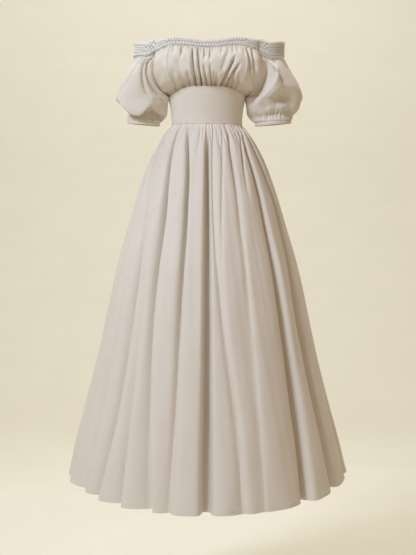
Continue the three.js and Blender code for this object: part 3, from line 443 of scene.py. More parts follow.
def yoke_base(turn, down):
    return ring_point(YOKE_RINGS, turn, mix(yoke_top(turn), WAIST_HEIGHT, down))


def yoke_place(turn, down, under):
    point, normal = yoke_base(turn, down)
    strain = 0.45 * around_ripple(STRAIN_WAVES, turn, down * 2.2) * np.sin(np.pi * np.clip(down, 0, 1))
    seam_roll = 0.7 * (smooth((0.06 - down) / 0.06) + smooth((down - 0.965) / 0.035))
    return point - normal * (strain - seam_roll + under)[..., None]


# Sleeves and armholes
def sleeve_ring(height, column):
    return curve(SLEEVE_RINGS, "height", column, height)


def sleeve_ring_point(turn, height):
    wrap = np.radians(sleeve_ring(height, "wrap"))
    seam, outer = sleeve_ring(height, "seam"), sleeve_ring(height, "outer")
    middle = (seam - outer * np.cos(wrap)) / (1 - np.cos(wrap))
    reach = outer - middle
    return stack(middle + reach * np.cos(turn), sleeve_ring(height, "depth") * np.sin(turn), height)


def sleeve_ring_height(down, top):
    above = mix(top, UNDERARM_HEIGHT, down / SLEEVE_ABOVE_UNDERARM)
    below = mix(UNDERARM_HEIGHT, CUFF_TOP, (down - SLEEVE_ABOVE_UNDERARM) / (1 - SLEEVE_ABOVE_UNDERARM))
    return np.where(down < SLEEVE_ABOVE_UNDERARM, above, below)


def sleeve_base(across, down):
    seam_top = np.where(across < 0, ARMHOLE_TOP_FRONT, ARMHOLE_TOP_BACK)
    top = mix(SLEEVE_TOP, seam_top, smooth((np.abs(across) - 0.75) / 0.25))
    height = sleeve_ring_height(down, top)
    point = sleeve_ring_point(across * np.radians(sleeve_ring(height, "wrap")), height)
    point[..., 2] = height + sleeve_ring(height, "tilt") * np.cos(across * np.pi)
    return point


def sleeve_drape(across, down, folds, crease):
    """Depth of the sleeve's folds. crease is its table, how wide the crease is, how far the underside
    lies back from it, and over what height."""
    height = sleeve_ring_height(down, SLEEVE_TOP)
    turn = across * sleeve_ring(height, "wrap")
    reach = (sleeve_ring(height, "outer") - sleeve_ring(height, "seam")) / 2
    girth = np.radians(1) * mix(reach, sleeve_ring(height, "depth"), 0.5)
    depth = 0
    for fold in rows_of(folds):
        share = np.clip((down - fold["start"]) / (fold["end"] - fold["start"]), 0, 1)
        away = (turn - through(fold["top"], fold["middle"], fold["bottom"], share)) * girth
        wide = fold["wide"] * mix(0.55, 1, smooth(share * 2.2))
        depth = depth + fold["deep"] * trough(away, wide) * showing(fold["start"], fold["end"], down)
    table, crease_wide, underside, underside_tall = crease
    at_crease = height - curve(table, "turn", "height", turn)
    strength = curve(table, "turn", "strength", turn)
    ridge = trough(at_crease - 2 * crease_wide, 1.7 * crease_wide)
    depth = depth + strength * (2.5 * trough(at_crease + 2, crease_wide) - 2.5 * ridge)
    overhang = trough(at_crease - 8, 20) * trough(turn + 85, 28)
    depth = depth - OVERHANG * underside / 30 * strength * overhang
    set_back = underside * strength * smooth(0.3 - at_crease / underside_tall)
    depth = depth + set_back * smooth((height - CUFF_TOP) / 10)
    gathers = pinch(uneven(turn / 11.5, 3)) * 6.0 * smooth((1142 - height) / 26)
    small = pinch(uneven(turn / 5.8, 1)) * 2.6 * smooth((down - 0.88) / 0.08)
    shirring = pinch(uneven(turn / 7.4, 5)) * 7.0 * (1 - smooth(down / 0.24))
    soft = 1.3 * ripple(turn / 60, down * 2.1, 3)
    at_cuff = 1 - 0.75 * smooth((down - 0.965) / 0.035)
    over_seam = trough(np.abs(across) - 0.9, 0.035) * trough(height - UNDERARM_HEIGHT - 6, 16)
    return (depth + gathers + small + shirring + soft - UNDERARM_PUFF * over_seam) * off_side(across) * at_cuff


# Bodice
def lace_edge(x, front, edge):
    table = LACE_FRONT if front else LACE_BACK
    return curve(table, "x", edge, np.abs(x))


def bodice_base(across, down, front):
    sections = BUST_SECTIONS if front else BACK_SECTIONS
    square = 2 / curve(sections, "down", "squareness", down)
    turn = across * (np.pi / 2)
    sideways = np.sign(turn) * np.abs(np.sin(turn)) ** square
    forward = np.maximum(0, np.cos(turn)) ** square
    seam_height = mix(ARMHOLE_TOP_FRONT if front else ARMHOLE_TOP_BACK, UNDERARM_HEIGHT, down)
    seam = sleeve_ring_point(np.radians(sleeve_ring(seam_height, "wrap")), seam_height)
    middle = curve(sections, "down", "middle", down)
    on_yoke, _ = yoke_base(across * 90 if front else 180 - across * 90, 0 * down)
    joins_from = mix(0.8, 0.98, smooth((np.abs(across) - 0.8) / 0.2))
    joined = smooth((down - joins_from) / (1 - joins_from))
    x = seam[..., 0] * sideways
    y = (seam[..., 1] + (middle - seam[..., 1]) * forward) * (-1 if front else 1)
    return stack(
        lean(mix(x, on_yoke[..., 0], joined)),
        mix(y, on_yoke[..., 1], joined),
        mix(lace_edge(x, front, "lower"), on_yoke[..., 2], down),
    )


def fold_sum(folds, x, down):
    depth = 0
    for fold in rows_of(folds):
        away = x - through(fold["top"], fold["middle"], fold["bottom"], down)
        wide = fold["wide"] * mix(0.6, 0.95, np.sin(np.pi * np.clip(down, 0, 1)))
        depth = depth + fold["deep"] * trough(away, wide) * showing(fold["start"], fold["end"], down)
    return depth


def kept_folds(down):
    """How much of its folds a bodice panel keeps towards its top and bottom seams."""
    return mix(0.5, 1, smooth(down / 0.12)) * mix(1, 0.7, smooth((down - 0.88) / 0.12))


def bust_drape(across, down):
    x = bodice_base(across, down, True)[..., 0]
    bottom = pinch(uneven(x / 5.2, 2)) * 4.6 * smooth((down - 0.82) / 0.15)
    top = pinch(uneven(x / 7.5, 4)) * 3.2 * (1 - smooth(down / 0.14))
    soft = 1.2 * ripple(x / 42, down * 1.6, 5)
    princess = mix(PRINCESS_TOP, PRINCESS_BOTTOM, down)
    off_princess = np.abs(np.abs(across) - princess)
    at_seam = smooth(off_princess / 0.03)
    seam_ridge = -1.0 * trough(off_princess, 0.006)
    depth = BUST_FOLD_SHARE * fold_sum(BUST_FOLDS, x, down) * kept_folds(down) + bottom + top + soft
    armhole_ridge = -1.2 * trough(1 - np.abs(across), 0.008)
    return depth * at_seam * off_side(across) + seam_ridge + armhole_ridge


def back_drape(across, down):
    x = bodice_base(across, down, False)[..., 0]
    ends = 1 - smooth(down / 0.14) + smooth((down - 0.84) / 0.14)
    small = pinch(uneven(x / 6.4, 3)) * 2.2 * ends
    clear = smooth((np.abs(x) - 9) / 9)
    soft = 1.0 * ripple(x / 46, down * 1.7, 6)
    folds = fold_sum(BACK_FOLDS, x, down) * kept_folds(down)
    return (folds + small + soft) * clear * off_side(across)


def draped(base, drape, outward):
    """A surface whose cloth lies under its smooth base, along the base's own normal."""
    tiny = 1e-3

    def place(across, down, under):
        a0, a1 = np.maximum(-1, across - tiny), np.minimum(1, across + tiny)
        d0, d1 = np.maximum(0, down - tiny), np.minimum(1, down + tiny)
        along_across = base(a1, down) - base(a0, down)
        along_down = base(across, d1) - base(across, d0)
        normal = unit(np.cross(along_across, along_down)) * outward
        return base(across, down) - normal * (drape(across, down) + under)[..., None]

    return place


bust_place = draped(lambda a, d: bodice_base(a, d, True), bust_drape, -1)
back_place = draped(lambda a, d: bodice_base(a, d, False), back_drape, 1)


def puffed(folds, crease):
    """The sleeve with its own folds, its bottom edge kept level where the cuff holds it."""
    hung = draped(sleeve_base, lambda a, d: sleeve_drape(a, d, folds, crease), -1)

    def place(across, down, under):
        point = hung(across, down, under)
        held = smooth((down - 0.93) / 0.07)
        point[..., 2] = mix(point[..., 2], sleeve_base(across, down)[..., 2], held)
        return point

    return place


def sided(place, side):
    """A surface made for the left arm, put on the left (1) or the right (-1) of the body."""

    def on_side(across, down, under):
        point = place(across, down, under)
        point[..., 0] = lean(point[..., 0] * side)
        return point

    return on_side


sleeve_places = {
    1: sided(puffed(SLEEVE_FOLDS_LEFT, CREASES["left"]), 1),
    -1: sided(puffed(SLEEVE_FOLDS_RIGHT, CREASES["right"]), -1),
}


def cuff_base_place(across, down, under):
    turn = across * np.pi
    plump = 0.9 * np.sin(np.pi * np.clip(down, 0, 1))
    pucker = 0.5 * pinch(uneven(np.degrees(turn) / 6.2, 1))
    reach = CUFF_REACH + plump - pucker - under
    height = mix(CUFF_TOP, CUFF_BOTTOM, down) + CUFF_TILT * np.cos(turn)
    return stack(CUFF_MIDDLE + reach * np.cos(turn), reach * np.sin(turn), height)


# Meshes
def to_metres(points):
    return (points - np.array([0, 0, HELD_HEIGHT])) * MM


def mesh_object(name, points, faces, material, smooth_angle=50):
    """A mesh in the scene, shaded smooth except over edges sharper than the angle."""
    mesh = bpy.data.meshes.new(name)
    mesh.from_pydata(points, [], faces)
    mesh.update()
    mesh.polygons.foreach_set("use_smooth", np.ones(len(mesh.polygons), bool))
    mesh.set_sharp_from_angle(angle=math.radians(smooth_angle))
    mesh.materials.append(material)
    made = bpy.data.objects.new(name, mesh)
    bpy.context.scene.collection.objects.link(made)
    return made


def grid_faces(index):
    return np.stack([index[:-1, :-1], index[1:, :-1], index[1:, 1:], index[:-1, 1:]], -1).reshape(-1, 4)


def rim_faces(outer, inner):
    """Triangles between an outer edge and an inner edge that has every second point."""
    a0, a1, a2 = outer[:-2:2], outer[1:-1:2], outer[2::2]
    b0, b1 = inner[:-1], inner[1:]
    parts = [np.stack(corners, -1) for corners in ((a0, a1, b0), (a1, a2, b1), (a1, b1, b0))]
    return np.concatenate(parts)


def cloth_shell(name, place, across, down, thickness, material, pulls=(True, True, True, True)):
    """A closed thin wall. across and down are odd in number; the inner face has every second of them.
    pulls says for its top, bottom, first and last side whether the edge is drawn back at a seam."""
    a, d = np.meshgrid(across, down)
    outer = place(a, d, np.zeros_like(a))
    inner = place(a, d, np.full_like(a, thickness))
    for layer in (outer, inner):
        for pulled, edge, beside in zip(pulls, EDGES, BESIDE):
            if pulled:
                layer[edge] += unit(layer[beside] - layer[edge]) * SEAM_GAP / 2
    inner = inner[::2, ::2]
    cloth = np.stack([arc_lengths(outer, 1), arc_lengths(outer, 0)], -1)
    points = np.concatenate([outer.reshape(-1, 3), inner.reshape(-1, 3)])
    threads = np.concatenate([cloth.reshape(-1, 2), cloth[::2, ::2].reshape(-1, 2)])
    outside = np.arange(outer[..., 0].size).reshape(outer.shape[:2])
    inside = outside.size + np.arange(inner[..., 0].size).reshape(inner.shape[:2])
    quads = np.concatenate([grid_faces(outside), grid_faces(inside)[:, ::-1]])
    rims = [
        rim_faces(outside[0], inside[0])[:, ::-1],
        rim_faces(outside[-1], inside[-1]),
        rim_faces(outside[:, 0], inside[:, 0]),
        rim_faces(outside[:, -1], inside[:, -1])[:, ::-1],
    ]
    triangles = np.concatenate(rims)
    normal = np.cross(outer[1, 0] - outer[0, 0], outer[0, 1] - outer[0, 0])
    if normal @ (outer[0, 0] - place(a[:1, :1], d[:1, :1], np.full((1, 1), thickness))[0, 0]) < 0:
        quads, triangles = quads[:, ::-1], triangles[:, ::-1]
    made = mesh_object(name, to_metres(points), quads.tolist() + triangles.tolist(), material)
    layer = made.data.uv_layers.new(name="threads")
    corners = np.zeros(len(made.data.loops), int)
    made.data.loops.foreach_get("vertex_index", corners)
    layer.data.foreach_set("uv", (threads[corners] * MM).ravel())
    made["flat_area"] = float(area_of(outer))
    return made


EDGES = ((0, slice(None)), (-1, slice(None)), (slice(None), 0), (slice(None), -1))
BESIDE = ((1, slice(None)), (-2, slice(None)), (slice(None), 1), (slice(None), -2))


def arc_lengths(points, axis):
    """Distance along the rows (1) or down the columns (0) of a grid of points, from its middle or top."""
    steps = np.linalg.norm(np.diff(points, axis=axis), axis=-1)
    pad = [(0, 0), (0, 0)]
    pad[axis] = (1, 0)
    along = np.pad(np.cumsum(steps, axis=axis), pad)
    return along - along[:, along.shape[1] // 2, None] if axis == 1 else along


def area_of(points):
    a = points[1:, :-1] - points[:-1, :-1]
    b = points[:-1, 1:] - points[:-1, :-1]
    return np.linalg.norm(np.cross(a, b), axis=-1).sum() * MM * MM


def cords(name, lines, radii, outward, material, closed=False, sides=5):
    """Threads along many lines of equal count, (lines, points, 3). radii is one for each point. They are
    a little flatter towards the cloth's outside."""
    if closed:
        ahead, behind = np.roll(lines, -1, 1), np.roll(lines, 1, 1)
    else:
        ahead = np.concatenate([lines[:, 1:], lines[:, -1:]], 1)
        behind = np.concatenate([lines[:, :1], lines[:, :-1]], 1)
    way = unit(ahead - behind)
    side = unit(np.cross(way, outward))
    out = np.cross(side, way)
    angles = np.arange(sides) * 2 * np.pi / sides
    ring = side[:, :, None] * np.cos(angles)[:, None] + out[:, :, None] * THREAD_FLAT * np.sin(angles)[:, None]
    points = lines[:, :, None] + ring * np.broadcast_to(radii, lines.shape[:2])[..., None, None]
    count, steps = lines.shape[:2]
    index = np.arange(count * steps * sides).reshape(count, steps, sides)
    ends = index if closed else index[:, :-1]
    nexts = np.roll(index, -1, 1) if closed else index[:, 1:]
    around = np.roll(ends, -1, 2), np.roll(nexts, -1, 2)
    faces = np.stack([ends, nexts, around[1], around[0]], -1).reshape(-1, 4).tolist()
    if not closed:
        faces += index[:, 0].tolist() + index[:, -1, ::-1].tolist()
    return mesh_object(name, to_metres(points.reshape(-1, 3)), faces, material, 80)


# Materials
def linear(red, green, blue):
    """Linear colour from the 0 to 255 values that a screen shows."""
    def channel(value):
        share = value / 255
        return share / 12.92 if share <= 0.04045 else ((share + 0.055) / 1.055) ** 2.4
    return (channel(red), channel(green), channel(blue), 1)


class Nodes:
    """Short forms for building one material's nodes."""

    def __init__(self, name):
        self.material = bpy.data.materials.new(name)
        self.material.use_nodes = True
        self.tree = self.material.node_tree
        self.shader = self.tree.nodes["Principled BSDF"]

    def fill(self, socket, value):
        """Links a socket to another node's output, or gives it a value."""
        if isinstance(value, bpy.types.NodeSocket):
            self.tree.links.new(value, socket)
        else:
            socket.default_value = value

    def add(self, kind, inputs=(), **settings):
        node = self.tree.nodes.new(kind)
        for key, value in settings.items():
            setattr(node, key, value)
        for key, value in dict(inputs).items():
            self.fill(node.inputs[key], value)
        return node

    def stretched(self, source, scale):
        return self.add("ShaderNodeMapping", {"Vector": source, "Scale": scale}).outputs["Vector"]

    def noise(self, vector, scale, detail=3.0, roughness=0.55):
        inputs = {"Vector": vector, "Scale": scale, "Detail": detail, "Roughness": roughness}
        return self.add("ShaderNodeTexNoise", inputs).outputs["Fac"]

    def bands(self, vector, scale, direction):
        inputs = {"Vector": vector, "Scale": scale}
        return self.add("ShaderNodeTexWave", inputs, bands_direction=direction).outputs["Fac"]

    def maths(self, operation, first, second):
        return self.add("ShaderNodeMath", {0: first, 1: second}, operation=operation).outputs[0]

    def average(self, first, second):
        return self.maths("MULTIPLY", self.maths("ADD", first, second), 0.5)

    def where(self):
        return self.add("ShaderNodeTexCoord").outputs["Object"]

    def tint(self, factor, dark, light):
        return self.add("ShaderNodeMix", {0: factor, 6: dark, 7: light}, data_type="RGBA").outputs[2]

    def bump(self, height, distance, strength, under=None):
        inputs = {"Height": height, "Distance": distance, "Strength": strength}
        if under is not None:
            inputs["Normal"] = under
        return self.add("ShaderNodeBump", inputs).outputs["Normal"]

    def shade(self, **values):
        for key, value in values.items():
            name = key.replace("_", " ").title()
            self.fill(self.shader.inputs[name], value)
        return self.material


COTTON_LIGHT = linear(232, 225, 213)
COTTON_DARK = linear(224, 214, 200)
LACE_LIGHT = linear(255, 252, 245)
LACE_DARK = linear(251, 247, 239)
# The lace lining's two colours are partly its own cotton and partly painted shade: they are darker than the
# dress so that the holes of the lace look shaded.
LINING_PAINTED_SHADE_LIGHT = linear(194, 188, 179)
LINING_PAINTED_SHADE_DARK = linear(178, 171, 161)
THREAD_COLOUR = linear(224, 216, 206)
STAGE_COLOUR = linear(239, 235, 219)
STAGE_SHADE = linear(231, 227, 212)
ENAMEL_COLOUR = linear(219, 210, 194)


def cotton():
    """Ivory plain weave with slubs, fine crumples and a soft nap."""
    nodes = Nodes("cotton")
    threads = nodes.add("ShaderNodeUVMap", uv_map="threads").outputs["UV"]
    weft_slubs = nodes.noise(nodes.stretched(threads, (22, 900, 1)), 1.0, 2.0)
    warp_slubs = nodes.noise(nodes.stretched(threads, (900, 14, 1)), 1.0, 2.0)
    slubs = nodes.average(weft_slubs, warp_slubs)
    mottle = nodes.noise(threads, 9.0, 4.0)
    colour = nodes.tint(nodes.average(slubs, mottle), COTTON_DARK, COTTON_LIGHT)
    weave = nodes.maths("MULTIPLY", nodes.bands(threads, 560, "X"), nodes.bands(threads, 560, "Y"))
    crumple = nodes.noise(nodes.stretched(threads, (26, 60, 1)), 1.0, 5.0, 0.6)
    normal = nodes.bump(weave, 0.0002, 0.35)
    normal = nodes.bump(slubs, 0.0004, 0.45, normal)
    normal = nodes.bump(crumple, 0.0035, 0.42, normal)
    return nodes.shade(
        base_color=colour, roughness=0.88, normal=normal, sheen_weight=0.25, sheen_roughness=0.5,
        sheen_tint=COTTON_LIGHT,
    )


def lace_cotton(name, light, dark):
    nodes = Nodes(name)
    where = nodes.where()
    twist = nodes.bands(nodes.stretched(where, (1, 1, 1.6)), 620, "DIAGONAL")
    colour = nodes.tint(nodes.noise(where, 240, 3.0), dark, light)
    normal = nodes.bump(twist, 0.0003, 0.6)
    return nodes.shade(base_color=colour, roughness=0.9, normal=normal, sheen_weight=0.15)


def sewing_thread():
    nodes = Nodes("thread")
    where = nodes.where()
    normal = nodes.bump(nodes.bands(where, 1500, "DIAGONAL"), 0.0001, 0.5)
    colour = nodes.tint(nodes.noise(where, 400, 2.0), COTTON_DARK, THREAD_COLOUR)
    return nodes.shade(base_color=colour, roughness=0.65, normal=normal, sheen_weight=0.1)


def enamel():
    nodes = Nodes("enamel")
    where = nodes.where()
    wear = nodes.noise(where, 700, 3.0)
    colour = nodes.tint(wear, ENAMEL_COLOUR, COTTON_LIGHT)
    normal = nodes.bump(wear, 0.0001, 0.2)
    return nodes.shade(base_color=colour, roughness=0.38, metallic=0.1, normal=normal)


def stage_paper():
    nodes = Nodes("stage")
    where = nodes.where()
    mottle = nodes.noise(nodes.stretched(where, (1.2, 1.2, 3.0)), 2.5, 6.0, 0.6)
    return nodes.shade(base_color=nodes.tint(mottle, STAGE_SHADE, STAGE_COLOUR), roughness=0.95)


# Pieces of cloth
def finish_piece(made, nodes, flat):
    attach(made, BODY)
    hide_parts(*nodes)


def make_panel(name, place, across, down, thickness, material, flat,
               pulls=(True, True, True, True)):
    """One panel of cotton, in place of its solid."""
    made = cloth_shell(name + "_cloth", place, across, down, thickness, material, pulls)
    finish_piece(made, [name], flat)


def odd(count):
    return int(count) // 2 * 2 + 1


SKIRT_ROWS = np.concatenate([
    np.linspace(1100, 1080, 13), np.linspace(1080, 1000, 32)[1:], np.linspace(1000, 800, 36)[1:],
    np.linspace(800, 40, 42)[1:], [28, 20, 15.5, 14.5, 13.5, 12.5, 8, 3, 0],
])
YOKE_ROWS = np.unique(np.concatenate([
    np.linspace(0, 0.08, 8), np.linspace(0.08, 0.94, 26), np.linspace(0.94, 1, 9),
]))
BODICE_ROWS = 91
SLEEVE_ROWS = 111
SLEEVE_COLUMNS = 261
NARROW_ROWS = 9


def make_skirt(material):
    panels = (
        ("skirt_front", -90, 90, 560, 1.73),
        ("skirt_back_left", 90, 180, 240, 0.79),
        ("skirt_back_right", 180, 270, 240, 0.81),
    )
    for name, start, end, count, flat_width in panels:
        at_knee = fold_columns(start, end, count)
        turns = {height: fold_column_turns(at_knee, start, end, height) for height in SKIRT_ROWS}

        def panel_place(column, height, under, turns=turns):
            turn = np.array([turns[row[0]][at.astype(int)] for row, at in zip(height, column)])
            return skirt_place(turn, height, under)

        every = np.arange(len(at_knee))
        make_panel(name, panel_place, every, SKIRT_ROWS, CLOTH, material, (flat_width, 1.17),
                   pulls=(True, False, True, True))


def make_yoke(material):
    for name, start, end, count, flat in (
        ("yoke_front", -90, 90, 240, (0.33, 0.11)),
        ("yoke_back_left", 90, 180, 120, (0.16, 0.081)),
        ("yoke_back_right", 180, 270, 120, (0.16, 0.081)),
    ):
        turns = np.linspace(start, end, odd(count))
        make_panel(name, yoke_place, turns, YOKE_ROWS, CLOTH_DOUBLED, material, flat)


def make_bodice(material):
    down = np.linspace(0, 1, BODICE_ROWS)
    seam = mix(PRINCESS_TOP, PRINCESS_BOTTOM, down)
    panels = (
        ("bust_centre", bust_place, -seam, seam, 300, (0.40, 0.16)),
        ("bust_side_left", bust_place, seam, 1 + 0 * seam, 84, (0.095, 0.2)),
        ("bust_side_right", bust_place, -1 + 0 * seam, -seam, 84, (0.095, 0.2)),
        ("bodice_back_left", back_place, 0 * seam, 1 + 0 * seam, 120, (0.185, 0.16)),
        ("bodice_back_right", back_place, -1 + 0 * seam, 0 * seam, 120, (0.185, 0.16)),
    )
    for name, place, left, right, count, flat in panels:
        across = np.linspace(0, 1, odd(count))

        def panel_place(share, height, under, place=place, left=left, right=right):
            at_left, at_right = (np.interp(height, down, side) for side in (left, right))
            return place(mix(at_left, at_right, share), height, under)

        make_panel(name, panel_place, across, down, CLOTH, material, flat)


def make_sleeves(material):
    across = np.linspace(-1, 1, SLEEVE_COLUMNS)
    down = np.linspace(0, 1, SLEEVE_ROWS)
    for name, side in (("sleeve_left", 1), ("sleeve_right", -1)):
        make_panel(name, sleeve_places[side], across, down, CLOTH, material, (0.53, 0.28))
    down = np.linspace(0, 1, NARROW_ROWS)
    for name, side in (("cuff_left", 1), ("cuff_right", -1)):
        place = sided(cuff_base_place, side)
        make_panel(name, place, across, down, CLOTH_DOUBLED, material, (0.35, 0.011))


# Lace
def distances(points):
    """How far each point of a line lies along it."""
    return np.concatenate([[0], np.cumsum(np.linalg.norm(np.diff(points, axis=0), axis=1))])


def points_along(at, along, points):
    """Points, or directions, at some distances along a line that has points at the distances along."""
    return stack(*(np.interp(at, along, points[:, k]) for k in range(3)))


def neckline():
    """The line round the top edge of the cloth, from the zip round to the zip."""
    back_left = bodice_base(np.linspace(0, 1, NECKLINE_STEPS), np.zeros(NECKLINE_STEPS), False)
    front = bodice_base(np.linspace(1, -1, 2 * NECKLINE_STEPS), np.zeros(2 * NECKLINE_STEPS), True)
    back_right = bodice_base(np.linspace(-1, 0, NECKLINE_STEPS), np.zeros(NECKLINE_STEPS), False)
    arms = []
    for side in (1, -1):
        across = np.linspace(side * OVER_ARM, -side * OVER_ARM, NECKLINE_STEPS)
        arm = sleeve_base(across, np.zeros(NECKLINE_STEPS))
        arm[:, 0] = lean(arm[:, 0] * side)
        arms.append(arm)
    return np.concatenate([back_left, arms[0], front, arms[1], back_right])


def softened(path, along, reach):
    """The path with its corners rounded in plan, as elastic lace bridges them."""
    even = np.linspace(0, along[-1], EVEN_STEPS)
    step = even[1]
    window = np.exp(-((np.arange(-3 * reach, 3 * reach + step, step) / reach) ** 2))
    window /= window.sum()
    pad = len(window) // 2
    rounded = path.copy()
    for axis in (0, 1):
        level = np.pad(np.interp(even, along, path[:, axis]), pad, mode="reflect", reflect_type="odd")
        rounded[:, axis] = np.interp(along, even, np.convolve(level, window, "valid")[: len(even)])
    return rounded


NECKLINE_STEPS = 240
EVEN_STEPS = 2400
OVER_ARM = 0.97
NECKLINE_SOFTENING = 6.0
NECKLINE_ROUNDING = 9.0
NECKLINE_SHARP = neckline()
NECKLINE_ALONG = distances(NECKLINE_SHARP)
NECKLINE_LENGTH = NECKLINE_ALONG[-1]
NECKLINE = softened(NECKLINE_SHARP, NECKLINE_ALONG, NECKLINE_ROUNDING)
LACE_END = 0.5


def on_neckline(along):
    """Foot of the lace and its outward side, at distances along the neckline."""
    foot, ahead, behind = (
        points_along(np.clip(at, 0, NECKLINE_LENGTH), NECKLINE_ALONG, NECKLINE)
        for at in (along, along + NECKLINE_SOFTENING, along - NECKLINE_SOFTENING)
    )
    way = ahead - behind
    outward = unit(stack(-way[..., 1], way[..., 0], 0 * along))
    return foot, outward


def lace_rise(along):
    """How tall the lace stands at distances along the neckline."""
    foot, _ = on_neckline(along)
    x, front = foot[..., 0], foot[..., 1] < 0
    rises = [lace_edge(x, side, "upper") - lace_edge(x, side, "lower") for side in (True, False)]
    return np.where(front, *rises)


def lace_point(along, up):
    """A point of the lace at a height above the cloth's edge, with its outward side."""
    foot, outward = on_neckline(along)
    flare = LACE_OUTSIDE + LACE_WAVE * np.sin(along / LACE_WAVE_REACH) * up / 20
    point = foot + outward * flare[..., None]
    point[..., 2] = foot[..., 2] + SEAM_GAP + up
    return point, outward


LACE_OUTSIDE = 1.6
LACE_OVERLAP = 2.4
LACE_WAVE = 0.6
LACE_WAVE_REACH = 11.0
LACE_TAPE = 3.2
FLOWER_PITCH = 8.8
FLOWER_ROW = 6.8
PETALS = 5
PETAL_FROM_MIDDLE = 0.46
PETAL_SIZE = 0.36
BUD_SIZE = 0.1
FLOWER_THREAD = 0.8
SCALLOP_PITCH = 8.8
SCALLOP_HEIGHT = 3.6


def join_meshes(made):
    """The first of some meshes, with the others joined to it."""
    with bpy.context.temp_override(active_object=made[0], object=made[0], selected_objects=made,
                                   selected_editable_objects=made):
        bpy.ops.object.join()
    return made[0]


def make_lace(lace, lining):
    make_lace_lining(lining)
    petal_turns = np.arange(PETALS) * 2 * np.pi / PETALS + np.pi / 2
    threads = join_meshes([
        lace_cords(lace),
        lace_rings("lace_petals", PETAL_SIZE, PETAL_FROM_MIDDLE, petal_turns, lace),
        lace_rings("lace_buds", BUD_SIZE, 0, np.array([0.0]), lace),
        lace_scallops(lace),
    ])
    threads.name = "neck_lace_threads"
    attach(threads, BODY)


def make_lace_lining(material):
    """The band of fine cotton behind the openwork, in a darker grey than the dress that paints the shade seen
    through the lace's holes.
    """

    def place(along, down, under):
        top = lace_rise(along) - SCALLOP_HEIGHT - 0.6
        point, outward = lace_point(along, mix(top, -LACE_OVERLAP, down))
        return point - outward * (0.9 + under)[..., None]

    along = np.linspace(0, NECKLINE_LENGTH, odd(600))
    made = cloth_shell("neck_lace_lining", place, along, np.linspace(0, 1, NARROW_ROWS), 0.6, material)
    length = NECKLINE_LENGTH * MM
    finish_piece(made, ["neck_lace"], (length, 0.045))


def lace_cords(material):
    """The tape along the foot: three cords, and a zigzag between the upper two."""
    along = np.linspace(1, NECKLINE_LENGTH - 1, 1000)
    zigzag = 0.5 * LACE_TAPE + 0.4 + 0.9 * np.sin(2 * np.pi * along / 3.7)
    rows = (-LACE_OVERLAP + 0 * along, 0.7 + 0 * along, LACE_TAPE + 0 * along, zigzag)
    lines, sides = (np.array(part) for part in zip(*(lace_point(along, up) for up in rows)))
    return cords("lace_cords", lines, 0.65, sides, material)


def flower_grid():
    """Middles of the flowers, (along, up), and half the height of each one's row."""
    count = int(NECKLINE_LENGTH / FLOWER_PITCH)
    middles, halves = [], []
    for column in range(count):
        along = (column + 0.5) * NECKLINE_LENGTH / count
        tall = float(lace_rise(np.array(along))) - SCALLOP_HEIGHT - LACE_TAPE
        rows = max(2, round(tall / FLOWER_ROW))
        for row in range(rows):
            shift = 0.5 * FLOWER_PITCH * (row % 2)
            middles.append((along + shift, LACE_TAPE + (row + 0.5) * tall / rows))
            halves.append(tall / rows / 2)
    return np.array(middles), np.array(halves)


def lace_rings(name, reach, centre, turned, material):
    """Rings of thread in shares of each flower's size, one for each turn about the flower's middle."""
    middles, halves = flower_grid()
    angles = np.arange(6) * np.pi / 3
    loops = []
    for turn in turned:
        along = centre * np.cos(turn) + reach * np.cos(angles + turn)
        up = centre * np.sin(turn) + reach * np.sin(angles + turn)
        loops.append((middles[:, :1] + along * FLOWER_PITCH / 2, middles[:, 1:] + up * halves[:, None]))
    along, up = (np.concatenate(part) for part in zip(*loops))
    point, outward = lace_point(np.clip(along, LACE_END, NECKLINE_LENGTH - LACE_END), up)
    return cords(name, point, FLOWER_THREAD, outward, material, closed=True, sides=4)


def lace_scallops(material):
    """Small arches along the top edge, on a cord."""
    count = int(NECKLINE_LENGTH / SCALLOP_PITCH)
    middles = (np.arange(count) + 0.5) * NECKLINE_LENGTH / count
    angles = np.linspace(np.pi, 0, 9)
    arch_along = middles[:, None] + np.cos(angles) * SCALLOP_PITCH / 2
    arch_up = lace_rise(arch_along) - SCALLOP_HEIGHT + np.sin(angles) * (SCALLOP_HEIGHT - 0.7)
    point, outward = lace_point(np.clip(arch_along, LACE_END, NECKLINE_LENGTH - LACE_END), arch_up)
    arches = cords("lace_scallops", point, 0.75, outward, material, sides=4)
    edge = np.linspace(1, NECKLINE_LENGTH - 1, 1000)
    lines, sides = lace_point(edge, lace_rise(edge) - SCALLOP_HEIGHT)
    base = cords("lace_scallop_base", lines[None], 0.55, sides[None], material, sides=4)
    return join_meshes([arches, base])


# Sewing: pitch and length of the stitches at the hem and at the other seams, and how far each point of
# a stitch stands off the cloth and how thick its thread is there.
HEM_STITCH = (3.4, 2.4)
SEAM_STITCH = (2.8, 2.0)
STITCH_LIFT = np.array([-0.25, 0.12, 0.2, 0.12, -0.25])
STITCH_RADII = np.array([0.12, 0.24, 0.26, 0.24, 0.12])


def stitches_along(points, outward, pitch, length):
    """Lines of five points, one for each stitch along a line of points that carries its outward side."""
    along = distances(points)
    count = max(1, int(along[-1] / pitch))
    starts = (np.arange(count) + 0.5) * along[-1] / count - length / 2
    at = starts[:, None] + np.linspace(0, length, 5)
    lines = points_along(at, along, points)
    sides = unit(points_along(at, along, outward))
    return lines + sides * STITCH_LIFT[:, None], sides


def surface_line(place, across, down):
    """Points on the outside of a cloth surface, with its outward side."""
    outer = place(across, down, np.zeros_like(across))
    inner = place(across, down, np.ones_like(across))
    return outer, unit(outer - inner)


